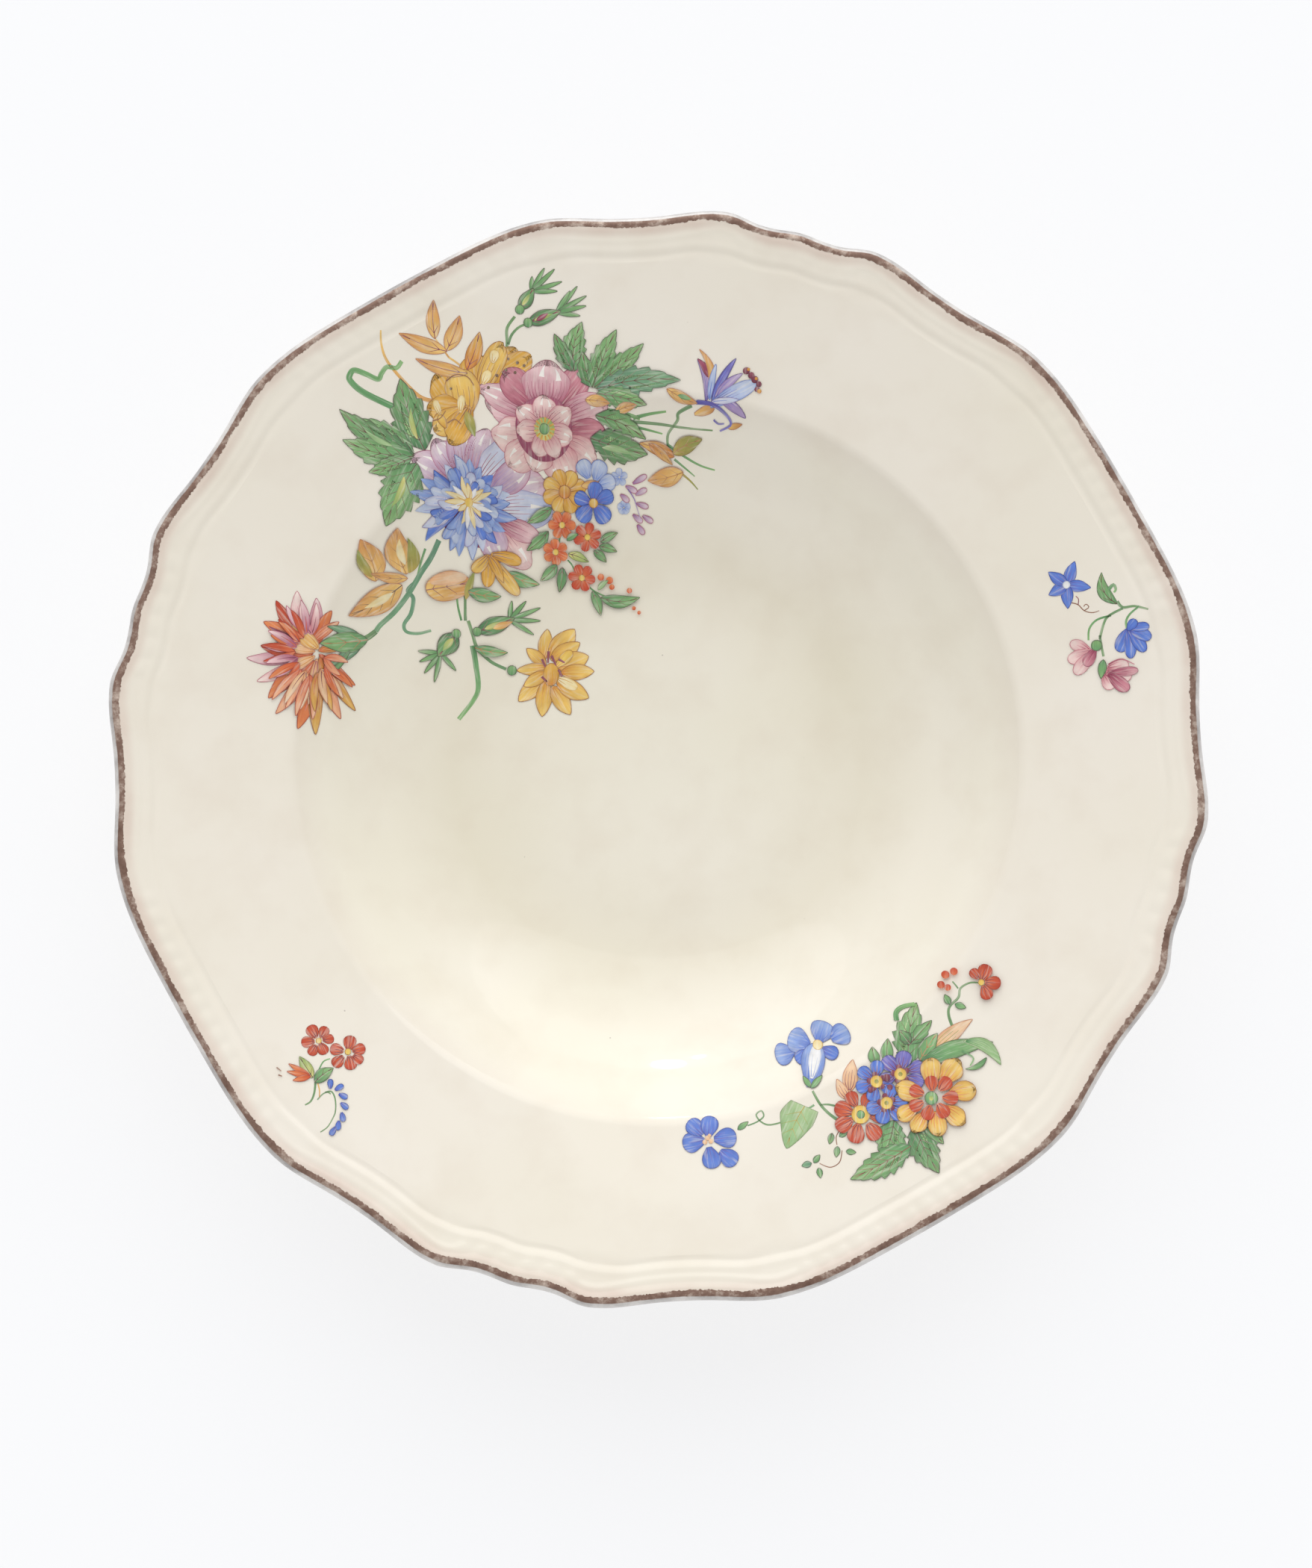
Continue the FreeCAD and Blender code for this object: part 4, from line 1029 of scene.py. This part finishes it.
def build_small_flowers():
    p = Print(16)
    for x, y, width, ink in ((-8.7, 64.8, 1.9, "pale_blue"), (-7.7, 58.5, 1.5, "pale_blue")):
        p.star(x, y, 5, width, 1.5, ink, 20.0, 0.2, rays=1, ray_ink="sky")
    for x0, y0, x1, y1 in ((-5.6, 63.6, -2.6, 65.2), (-7.2, 63.0, -4.8, 61.8), (-5.0, 61.2, -2.6, 62.4),
                           (-8.4, 61.2, -6.6, 59.8), (-4.8, 59.4, -2.2, 58.6), (-5.6, 57.0, -3.6, 55.4),
                           (-3.4, 56.8, -1.2, 55.4), (-4.6, 54.8, -3.2, 52.8)):
        p.dab("petal", "lilac", x0, y0, x1, y1, 1.2)
    p.stroke([(-6.8, 62.4), (-5.4, 60.4), (-4.6, 58.0), (-3.8, 55.6)], 0.25, 0.15, "mauve")
    for k in range(8):
        angle = math.radians(20 + 45 * k)
        c, s = math.cos(angle), math.sin(angle)
        p.dab("petal", "amber" if k % 2 else "gold", -21 + 0.9 * c, 61.5 + 0.9 * s, -21 + 5.0 * c,
              61.5 + 4.6 * s, 3.1, rays=3, ray_ink="autumn")
    p.spot(-21, 61.5, 1.3, "autumn", True)
    p.dab("leaf", "ochre", -17.2, 62.8, -13.2, 63.6, 1.5)
    p.flower(-14.6, 62.6, [(-16.5, 66.4, 1.8), (-13.3, 66.2, 1.9), (-11.4, 63.6, 1.8)], "pale_blue", "sky")
    p.flower(-14.6, 59.3, [(-14.2, 62.0, 1.7), (-11.8, 60.6, 1.7), (-12.6, 57.0, 2.0), (-16.6, 57.0, 1.9),
                           (-17.2, 60.2, 1.6)], "blue", "violet")
    p.spot(-14.6, 59.3, 0.95, "amber", True)
    for number, (x, y, reach) in enumerate(((-21.7, 54.5, 3.1), (-16, 52, 3.2), (-23.2, 48.6, 2.9),
                                            (-17.3, 43, 3.1))):
        p.star(x, y, 6, reach, 2.1, "scarlet" if number % 2 else "vermilion", 17.0 * number, 0.6, rays=2,
               ray_ink="scarlet")
        p.spot(x, y, 0.62, "yellow", True)
    p.spots("vermilion", [(-13, 43.2, 0.75), (-11, 42.5, 0.8), (-10.5, 41, 0.6), (-6.5, 40.2, 0.6),
                          (-5.5, 36.2, 0.45), (-4.3, 35.2, 0.42)])
    p.finish("bouquet_small_flowers", *BOUQUET)


def build_carnation():
    p = Print(10)
    r2 = rayed(3, "scarlet")
    p.dabs([
        ("blade", "blush", -76.5, 27, -79.4, 37.0, 3.4, 0.9, rayed(3, "rose")),
        ("blade", "pink", -77, 28, -75.2, 35.6, 2.6, -0.8, rayed(3, "rose")),
        ("blade", "pink", -78, 24, -90.0, 22.2, 3.0, 0.8, rayed(3, "rose")),
        ("blade", "blush", -78, 22, -87.8, 17.2, 2.6, 0.4, rayed(3, "rose")),
        ("blade", "scarlet", -77, 25, -83.8, 34.8, 3.0, 0.5, r2),
        ("blade", "vermilion", -77, 25, -86.4, 30.2, 3.2, -0.3, rayed(3, "maroon")),
        ("blade", "maroon", -78, 25.5, -85.4, 29.2, 1.3, 0.2, BARE),
        ("blade", "scarlet", -76, 23.5, -87.0, 25.0, 3.4, 0.4, r2),
        ("blade", "vermilion", -76, 22, -85.4, 13.6, 3.6, -0.6, r2),
        ("blade", "vermilion", -75.6, 25, -72.0, 33.0, 2.4, 0.4, r2),
        ("blade", "salmon", -76, 26, -70.6, 30.8, 1.8, 0.2, r2),
        ("blade", "salmon", -75.6, 22, -83.8, 10.2, 3.0, 0.5, r2),
        ("blade", "vermilion", -75.2, 21, -79.2, 7.0, 3.2, 0.4, rayed(3, "rose")),
        ("blade", "autumn", -75, 21, -75.6, 6.0, 2.8, -0.3, r2),
        ("blade", "salmon", -74.6, 22, -70.6, 9.8, 2.8, -0.4, rayed(3, "rose")),
        ("blade", "autumn", -74.6, 22.5, -67.6, 11.8, 2.4, -0.2, r2),
        ("blade", "vermilion", -74.6, 23.5, -67.6, 17.4, 2.4, -0.4, r2),
        ("blade", "autumn", -74.8, 24.2, -69.4, 25.6, 1.7, 0.2, r2),
        ("blade", "peach", -75.6, 24, -83.4, 25.8, 2.2, 0.2, rayed(2, "autumn")),
        ("blade", "peach", -75.6, 23, -83.8, 18.6, 2.2, 0.2, rayed(2, "autumn")),
        ("blade", "peach", -75.2, 22.4, -77.0, 12.4, 2.0, 0.2, rayed(2, "rose")),
        ("blade", "ochre", -74.8, 24.6, -80.2, 29.6, 3.2, 0.2, rayed(3, "autumn")),
        ("blade", "autumn", -74.6, 22.8, -72.8, 14.4, 1.7, 0.0, rayed(2, "scarlet")),
        ("leaf", "blue_green", -65.6, 27.3, -73.6, 20.8, 2.0, 0.5),
        ("leaf", "blue_green", -65.6, 27.3, -72.8, 29.6, 2.0, -0.4),
        ("leaf", "green", -64.8, 27.5, -74.4, 25.8, 4.4, 0.2, V3),
        ("blade", "green", -68.5, 24.8, -74.0, 18.0, 0.9, 0.4),
    ])
    for k, (angle, reach, ink) in enumerate((
        (96, 12.0, "blush"), (112, 13.0, "pink"), (128, 11.5, "scarlet"), (150, 11.0, "vermilion"),
        (166, 12.0, "pink"), (184, 12.5, "scarlet"), (205, 12.0, "pink"), (222, 13.0, "vermilion"),
        (238, 16.0, "salmon"), (250, 15.0, "peach"), (262, 17.0, "salmon"), (278, 15.0, "autumn"),
        (292, 13.0, "peach"), (308, 12.0, "vermilion"), (332, 8.0, "salmon"),
    )):
        c, s = math.cos(math.radians(angle)), math.sin(math.radians(angle))
        far = 0.62 * reach
        for side in (-1.0, 1.0):
            p.dab("blade", ink, -75.8 + c * far * 0.5, 24 + s * far * 0.5,
                  -75.8 + c * reach * 0.86 - s * side * 1.7, 24 + s * reach * 0.86 + c * side * 1.7, 1.5,
                  bend=0.4 * side, rays=1, ray_ink="maroon" if k % 3 == 0 else "scarlet")
    p.finish("bouquet_carnation", *BOUQUET)


def build_dahlia():
    p = Print(12)
    ray = rayed(4, "autumn")
    for x0, y0, x1, y1, width in (
        (-26, 24.5, -25.2, 31.4, 2.9), (-24.5, 24.8, -19, 31.4, 4.4), (-24.3, 24.4, -17.8, 28.3, 3.4),
        (-23, 22.8, -15.8, 25.2, 4.3), (-22, 21.6, -14.6, 21.8, 3.2), (-25.5, 23.2, -29.8, 27.0, 2.4),
        (-24.8, 22.6, -32.0, 22.0, 2.4), (-25.5, 20.8, -31.6, 15.0, 3.6), (-25.5, 19.6, -26.4, 11.6, 3.3),
        (-24, 18.4, -20.0, 12.0, 3.4), (-23, 19.4, -15.8, 15.8, 3.7), (-25.2, 21.6, -30.4, 18.4, 2.6),
    ):
        p.dab("blade", "amber", x0, y0, x1, y1, width * 1.12, **ray)
    p.dab("petal", "cream", -22.9, 20.3, -18.4, 18.0, 2.3, rays=2, ray_ink="gold")
    p.dab("petal", "yellow", -23.2, 22.8, -19.6, 26.4, 2.2, rays=2, ray_ink="autumn")
    p.dab("round", "gold", -24.5, 18.6, -24.1, 23.6, 3.5, rays=5, ray_ink="autumn")
    for points in ([(-24.9, 26.4), (-25.0, 23.8)], [(-24.2, 25.4), (-23.2, 23.2)],
                   [(-22.6, 22.2), (-21.8, 20.6)], [(-26.4, 24.6), (-25.6, 22.8)],
                   [(-22.6, 24.6), (-21.2, 23.8)], [(-26.4, 20.6), (-25.2, 19.4)]):
        p.stroke(points, 0.6, 0.35, "wine")
    p.finish("bouquet_dahlia", *BOUQUET)


def build_bluebell_sprig():
    p = Print()
    p.stroke([(90.5, 34.3), (92, 33.8), (93.3, 32.5), (95, 32), (96.5, 32.4)], 0.22, 0.2, "brown")
    p.stroke([(93.3, 32.5), (94.3, 33.2), (93.7, 33.9), (93.2, 33.4)], 0.2, 0.18, "brown")
    p.stroke([(92, 33.8), (92.1, 35), (91.5, 35.7)], 0.2, 0.16, "wine")
    p.stroke([(100.3, 34.3), (101.5, 33), (104, 33.2), (106.9, 32.5)], 0.7, 0.4, "stem")
    p.stroke([(105, 33.2), (103, 31.5), (102.2, 30), (102.3, 28.5)], 0.4, 0.5, "green")
    p.stroke([(101.5, 32.8), (98.5, 31.2), (97.4, 29.4), (96.6, 26.2)], 0.5, 0.55, "stem")
    p.stroke([(99, 31.3), (96, 30.4), (94.4, 28.5), (94.2, 26)], 0.45, 0.4, "green")
    p.stroke([(96.6, 27.0), (97.0, 24.5), (97.4, 22.4)], 0.5, 0.5, "stem")
    p.layer += 1
    p.dab("leaf", "green", 100.2, 33.8, 97.0, 40.6, 2.6, bend=1.3, veins=3)
    p.stroke([(98.5, 37), (99.5, 38), (100, 37), (99.6, 36.3)], 0.8, 0.4, "green", True)
    for tx, ty in ((91.2, 43.2), (94.6, 37.5), (89.8, 33.1), (85.8, 36.1), (85.7, 41.0)):
        p.dab("leaf", "blue", 89.6, 38.2, tx, ty, 2.5, rays=3, ray_ink="violet")
    p.spot(89.5, 38.2, 0.75, "white", True)
    for tx, ty, width in ((100.6, 23.4, 3.1), (103.2, 21.9, 2.4), (106.1, 23.3, 2.5), (107.4, 26.2, 2.6),
                          (107.0, 28.8, 2.0)):
        p.dab("petal", "blue", 102.9, 28.4, tx, ty, width, rays=3, ray_ink="violet")
    p.dab("petal", "blue", 102.6, 28.0, 104.2, 30.2, 2.0)
    p.dab("petal", "blush", 94.6, 23.6, 90.4, 25.6, 2.4, rays=3, ray_ink="rose")
    p.dab("petal", "blush", 95.0, 23.6, 89.9, 21.6, 2.8, rays=3, ray_ink="rose")
    p.dab("petal", "blush", 95.2, 23.4, 91.3, 18.7, 2.8, rays=3, ray_ink="rose")
    p.dab("petal", "rose", 95.6, 24.0, 93.5, 20.4, 2.4, rays=3, ray_ink="crimson")
    p.spot(95.9, 24.8, 1.1, "green", True)
    p.dab("petal", "blush", 98.2, 19.8, 102.6, 20.6, 2.8, rays=3, ray_ink="rose")
    p.dab("petal", "blush", 98.0, 19.2, 103.2, 17.8, 3.0, rays=3, ray_ink="rose")
    p.dab("petal", "rose", 98.4, 18.6, 104.6, 19.2, 2.0, rays=3, ray_ink="crimson")
    p.dab("petal", "blush", 97.4, 18.4, 99.2, 15.3, 2.8, rays=3, ray_ink="rose")
    p.dab("petal", "rose", 98.4, 18.4, 102.6, 14.9, 2.8, rays=3, ray_ink="crimson")
    p.dab("leaf", "green", 97.3, 21.6, 96.8, 17.6, 1.7)
    p.stroke([(98.4, 20.6), (101, 21.7), (103.9, 20.5)], 0.3, 0.2, "rose", True)
    p.finish("bluebell_sprig", *BLUEBELL)


def build_scarlet_sprig():
    p = Print()
    p.stroke([(-74.1, -70), (-74.3, -72.5), (-75, -74.3), (-76.2, -75.1)], 0.5, 0.3, "stem")
    p.stroke([(-73.4, -67.5), (-72.5, -65.8), (-71.1, -65.2)], 0.3, 0.25, "green")
    p.stroke([(-73.6, -70.5), (-73.2, -72), (-73.2, -73.5)], 0.3, 0.2, "ochre")
    p.stroke([(-73.6, -74), (-72.5, -72.8), (-71.5, -72.4), (-70.8, -72.8)], 0.3, 0.25, "stem")
    p.stroke([(-72.0, -72.4), (-70.6, -72.3), (-69.8, -74), (-69.7, -76.4), (-70.2, -77.9), (-71.3, -79.8),
              (-72.8, -80.9)], 0.35, 0.2, "stem")
    p.layer += 1
    p.flower(-73.6, -61.3, [(-75, -59.3, 1.35), (-72.6, -59.4, 1.15), (-76, -61.6, 1.25),
                            (-71.5, -61.0, 1.05), (-74.8, -63.4, 1.1), (-72.7, -63.1, 1.2)], "scarlet",
                            "maroon")
    p.spot(-73.6, -61.3, 0.55, "yellow", True)
    p.flower(-67.3, -63.7, [(-67, -61.7, 1.4), (-69.8, -63.2, 1.3), (-64.9, -63.2, 1.25),
                            (-69.4, -65.8, 1.3), (-66.7, -66.2, 1.35), (-65.1, -65.3, 1.1)], "scarlet",
                            "maroon")
    p.spot(-67.3, -63.7, 0.6, "yellow", True)
    p.dab("leaf", "lime", -74.7, -69.2, -77.6, -64.8, 2.3, veins=2)
    p.dab("leaf", "green", -74.2, -70.2, -70.4, -67.3, 2.7, bend=0.3, veins=3)
    for x, y in ((-79.8, -66.3), (-80.1, -67.9), (-78.8, -69.8)):
        p.dab("leaf", "vermilion", -75.2, -69.0, x, y, 1.2)
    for x, y, angle in ((-70.9, -70.6, 90), (-69, -71.4, 30), (-68.1, -73.2, -25), (-67.8, -75.3, -40),
                        (-68.1, -77.7, -75), (-69, -79.5, -95), (-70.1, -80.7, -120)):
        c, s = math.cos(math.radians(angle)) * 0.95, math.sin(math.radians(angle)) * 0.95
        p.dab("petal", "blue", x - c, y - s, x + c, y + s, 1.15, rays=1, ray_ink="violet")
    p.stroke([(-82.4, -67.0), (-81.4, -67.8)], 0.3, 0.2, "brown")
    p.stroke([(-82.0, -68.6), (-81.2, -68.9)], 0.3, 0.2, "brown")
    p.finish("scarlet_sprig", *SCARLET)


def build_posy_leaves():
    p = Print()
    p.stroke([(19.5, -79.8), (21.5, -79), (23, -77.8), (22.5, -76.6), (21.4, -77.5), (22.5, -79),
              (24.5, -79.6), (28.4, -78.6)], 0.3, 0.35, "stem")
    p.stroke([(39, -78.5), (37, -77.0), (35.2, -75), (33.7, -72.3)], 0.7, 0.5, "stem")
    p.stroke([(39, -75.6), (37, -75.2), (35.2, -75.3)], 0.5, 0.3, "stem")
    p.stroke([(34, -75.3), (32.5, -76.2), (31, -77)], 0.45, 0.35, "green")
    p.stroke([(39.8, -80.2), (38.7, -82), (38.8, -83.8)], 0.2, 0.2, "brown")
    p.stroke([(39.9, -85), (39.3, -87.5), (37.3, -88.6), (35, -87.8)], 0.2, 0.2, "brown")
    p.stroke([(56.8, -67), (58.5, -64.5), (62, -62), (64.2, -59), (64.2, -58.5), (63.4, -56), (63.6, -54),
              (65.5, -52), (66, -50), (68, -48.8), (70.2, -48.8)], 0.9, 0.35, "stem")
    p.stroke([(65.5, -50), (64.9, -49.2), (64.3, -48.5)], 0.35, 0.3, "stem")
    p.layer += 1
    p.dabs([
        ("leaf", "green", 17.4, -80.6, 19.6, -79.0, 1.2),
        ("heart", "pale_green", 31.9, -75.6, 28.0, -84.6, 7.4, -0.5, {"veins": 4, "vein_ink": "olive"}),
        ("leaf", "green", 37.8, -81.4, 37.2, -83.6, 1.3, 0.0, V2),
        ("leaf", "green", 39.4, -82.0, 41.2, -80.8, 1.2),
        ("leaf", "green", 38.9, -84.2, 38.6, -86.4, 1.3), ("leaf", "green", 40.8, -85.2, 42.8, -85.4, 1.2),
        ("leaf", "green", 33.8, -87.6, 35.0, -86.0, 1.2),
        ("leaf", "blue_green", 33.2, -87.8, 31.2, -88.3, 1.3),
        ("leaf", "green", 34.8, -88.8, 35.2, -90.8, 1.2),
        ("leaf", "peach", 41.6, -72.4, 42.6, -65.6, 3.2, 0.2, rayed(4, "wine")),
        ("leaf", "peach", 41.4, -74.0, 39.0, -69.8, 2.2, 0.2, rayed(3, "wine")),
        ("leaf", "peach", 59.5, -64.0, 68.4, -56.8, 3.2, 0.4, rayed(4, "olive")),
        ("toothed", "green", 54.6, -66.5, 56.6, -53.2, 6.4, 0.8, V5T),
        ("toothed", "green", 55.0, -62.0, 59.6, -57.0, 3.0, 0.0, {"veins": 2, "teeth": 3}),
        ("toothed", "dark_green", 55.0, -62.0, 52.8, -59.2, 2.6, 0.0, {"veins": 2, "teeth": 3}),
        ("leaf", "green", 50, -66.0, 50.2, -61.0, 2.6, 0.2, V2),
        ("leaf", "green", 47.6, -66.4, 46.8, -62.8, 2.4, 0.2, V2),
        ("leaf", "green", 57.0, -65.6, 60.8, -59.8, 3.2, 0.2, V3),
        ("leaf", "green", 57.0, -66.6, 72.6, -61.6, 3.8, 1.0, rayed(7, "dark_green")),
        ("blade", "pale_green", 66.5, -61.4, 74.2, -66.4, 2.6, 1.7, rayed(5, "green")),
        ("toothed", "green", 51.2, -78.6, 48.6, -87.0, 6.6, 0.3, V5T),
        ("toothed", "dark_green", 55.6, -79.4, 60.6, -89.6, 6.4, -0.5, V5T),
        ("toothed", "green", 54.6, -84.0, 41.6, -91.0, 5.8, 0.4,
         {"veins": 6, "vein_ink": "brown", "teeth": 7}),
        ("leaf", "green", 57.6, -79.5, 61.6, -83.4, 2.6, 0.2, V2),
        ("leaf", "green", 63.6, -53.4, 62.6, -51.4, 1.4), ("leaf", "green", 64.8, -53.4, 67.0, -54.2, 1.4),
        ("leaf", "green", 71.2, -65.0, 66.8, -67.4, 1.1, 0.7),
    ])
    p.stroke([(52.2, -57.0), (52.2, -55.2), (53.6, -54.0), (56.2, -53.4)], 1.1, 0.8, "green", True)
    p.stroke([(66, -63.5), (68.4, -65), (67.7, -66.7)], 0.4, 0.25, "green")
    p.finish("posy_leaves", *POSY)


def build_posy_flowers():
    p = Print(30)
    p.flower(10.8, -82.8, [(7.6, -83.4, 2.2), (8.0, -80.2, 1.9), (11.2, -79.8, 2.0), (14.8, -82.4, 2.2),
                           (15.4, -86.6, 2.0), (11.6, -86.8, 2.1)], "blue", "violet")
    p.spots("peach", [(10.8, -82.4, 0.5), (11.5, -83.1, 0.5), (10.2, -83.3, 0.5), (11.2, -81.9, 0.35)])
    p.flower(35.0, -62.9, [(27.8, -64.4, 1.9), (31.0, -61.6, 2.2), (36.3, -59.4, 2.1), (40.2, -60.2, 1.9)],
             "sky",
             "blue", width=2.5)
    p.flower(35.0, -62.6, [(31.9, -65.0, 1.7), (37.9, -64.0, 1.6)], "blue", "violet")
    p.dab("petal", "sky", 33.0, -71.4, 34.8, -62.2, 5.0, rays=5, ray_ink="blue")
    p.dab("petal", "white", 33.6, -69.6, 35.0, -62.4, 2.5, rays=2, ray_ink="pale_blue", outline=False)
    p.spot(35.2, -62.4, 1.0, "cream", True)
    p.dab("leaf", "green", 33.4, -71.6, 35.8, -69.0, 1.2)
    p.dab("leaf", "green", 33.2, -71.4, 31.8, -69.2, 1.1)
    p.flower(44, -77.3, [(42.2, -73.9, 1.5), (45.4, -74.3, 1.5), (40.2, -76.2, 1.8), (40.3, -79.4, 1.8),
                         (43, -81.5, 1.9), (46.7, -81.0, 1.8), (47.8, -77.6, 1.6)], "scarlet", "maroon")
    p.spot(44, -77.3, 1.9, "yellow", True)
    p.spot(44, -77.3, 0.8, "green", True)
    for x, y, petals, ink in (
        (52.7, -68.6, [(50.4, -66.4, 1.8), (53.4, -65.4, 1.8), (56.2, -67.2, 1.6), (56.0, -70.0, 1.7),
                       (53.0, -71.6, 1.6), (49.8, -69.6, 1.5)], "violet"),
        (47.5, -70.2, [(47.7, -67.2, 1.5), (45.0, -68.4, 1.5), (44.6, -71.2, 1.5), (46.8, -73.0, 1.5),
                       (50.0, -71.8, 1.4)],
         "blue"),
        (49.6, -74.8, [(50.4, -72.4, 1.4), (52.6, -74.4, 1.5), (51.8, -77.0, 1.5), (48.8, -77.6, 1.6),
                       (46.8, -75.8, 1.5)],
         "blue"),
    ):
        p.flower(x, y, petals, ink, "maroon")
        for k in range(5):
            angle = math.radians(72 * k + 30)
            p.spot(x + 1.5 * math.cos(angle), y + 1.5 * math.sin(angle), 0.62, "maroon")
            p.layer -= 1
        p.layer += 2
        p.spot(x, y, 1.25, "yellow", True)
        p.spot(x, y, 0.45, "olive")
    p.spots("maroon", [(49.7, -69.4, 0.8), (50.4, -71.4, 0.6), (46.2, -72.0, 0.6), (53.4, -73.6, 0.8),
                       (54.4, -71.8, 0.7)])
    for petal in ((59.3, -68.0, 2.6), (63.5, -67.9, 2.8), (66.0, -72.2, 2.5), (64.2, -77.4, 2.4),
                  (60.4, -79.2, 2.3), (56.4, -79.0, 2.1), (53.9, -76.8, 2.1), (54.4, -72.2, 2.6)):
        p.flower(59.6, -73.4, [petal], "amber", "vermilion", form="frill", rays=5, width=1.7)
    for x, y, size in ((59.3, -70.4, 1.5), (62.2, -70.6, 1.6), (63.4, -73.6, 1.6), (61.6, -76.4, 1.6),
                       (58.4, -76.9, 1.5), (55.9, -75.2, 1.5), (56.0, -72.2, 1.5)):
        p.flower(59.6, -73.6, [(x, y, size)], "scarlet", "maroon", rays=2, outline=False)
    p.spot(59.2, -73.7, 1.35, "green", True)
    p.spot(59.2, -73.7, 0.5, "lime")
    p.spots("scarlet", [(62.8, -47, 0.85), (64.6, -46.3, 0.8), (61.8, -49.2, 0.8), (63.2, -49.8, 0.7)])
    p.flower(70.4, -48.6, [(71.2, -46.4, 1.6), (69.0, -46.8, 1.1), (73.0, -48.8, 1.5), (71.4, -51.0, 1.4)],
             "scarlet",
             "maroon")
    p.spot(70.4, -48.7, 0.6, "yellow", True)
    p.finish("posy_flowers", *POSY)


for build in (build_bouquet_stems, build_bouquet_leaves, build_bouquet_buds, build_gold_peony, build_peony,
              build_rose, build_honeysuckle, build_small_flowers, build_carnation, build_dahlia,
              build_bluebell_sprig, build_scarlet_sprig, build_posy_leaves, build_posy_flowers):
    build()

# ---------------------------------------------------------------- stage

def area_light(name, place, target, size, power, colour=(1.0, 1.0, 1.0)):
    light = bpy.data.lights.new(name, "AREA")
    light.shape = "DISK"
    light.size = size
    light.energy = power
    light.color = colour
    lamp = bpy.data.objects.new(name, light)
    bpy.context.scene.collection.objects.link(lamp)
    lamp.location = place
    lamp.rotation_euler = (Vector(target) - Vector(place)).to_track_quat("-Z", "Y").to_euler()


def build_stage():
    bm = bmesh.new()
    bmesh.ops.create_grid(bm, x_segments=1, y_segments=1, size=3.0)
    mesh = bpy.data.meshes.new("white_floor")
    bm.to_mesh(mesh)
    bm.free()
    floor = bpy.data.objects.new("white_floor", mesh)
    floor.location.z = -0.0005
    bpy.context.scene.collection.objects.link(floor)
    material, _, surface = new_material("white_paper")
    surface.inputs["Base Color"].default_value = (0.35, 0.355, 0.36, 1.0)
    surface.inputs["Roughness"].default_value = 0.9
    surface.inputs["Emission Color"].default_value = (0.975, 0.975, 0.99, 1.0)
    surface.inputs["Emission Strength"].default_value = 0.64
    mesh.materials.append(material)

    world = bpy.data.worlds.new("room")
    world.use_nodes = True
    world.node_tree.nodes["Background"].inputs["Color"].default_value = (0.97, 0.975, 0.98, 1.0)
    world.node_tree.nodes["Background"].inputs["Strength"].default_value = 0.735
    bpy.context.scene.world = world
    bpy.context.scene.view_settings.view_transform = "Standard"

    sun = bpy.data.lights.new("daylight", "SUN")
    sun.angle = math.radians(70.0)
    sun.energy = 1.24
    sky = bpy.data.objects.new("daylight", sun)
    bpy.context.scene.collection.objects.link(sky)
    sky.rotation_euler = (math.radians(-57.0), 0.0, 0.0)
    area_light("window", (-0.04, 1.25, 0.225), (0, -0.07, 0.03), 0.13, 0.7)
    area_light("window_slit", (-0.16, 1.25, 0.30), (0, -0.07, 0.03), 0.05, 0.12)

    camera = bpy.data.cameras.new("camera")
    camera.sensor_fit = "VERTICAL"
    camera.angle = math.radians(27.30)
    camera.shift_x = -0.001238095238
    camera.shift_y = -0.02
    eye = bpy.data.objects.new("camera", camera)
    bpy.context.scene.collection.objects.link(eye)
    lean, away, rim = math.radians(4.0), 0.7, 0.043
    eye.location = (0.0, -math.sin(lean) * away, rim + math.cos(lean) * away)   # aimed at the rim's middle
    eye.rotation_euler = (lean, 0.0, 0.0)
    bpy.context.scene.camera = eye


build_stage()
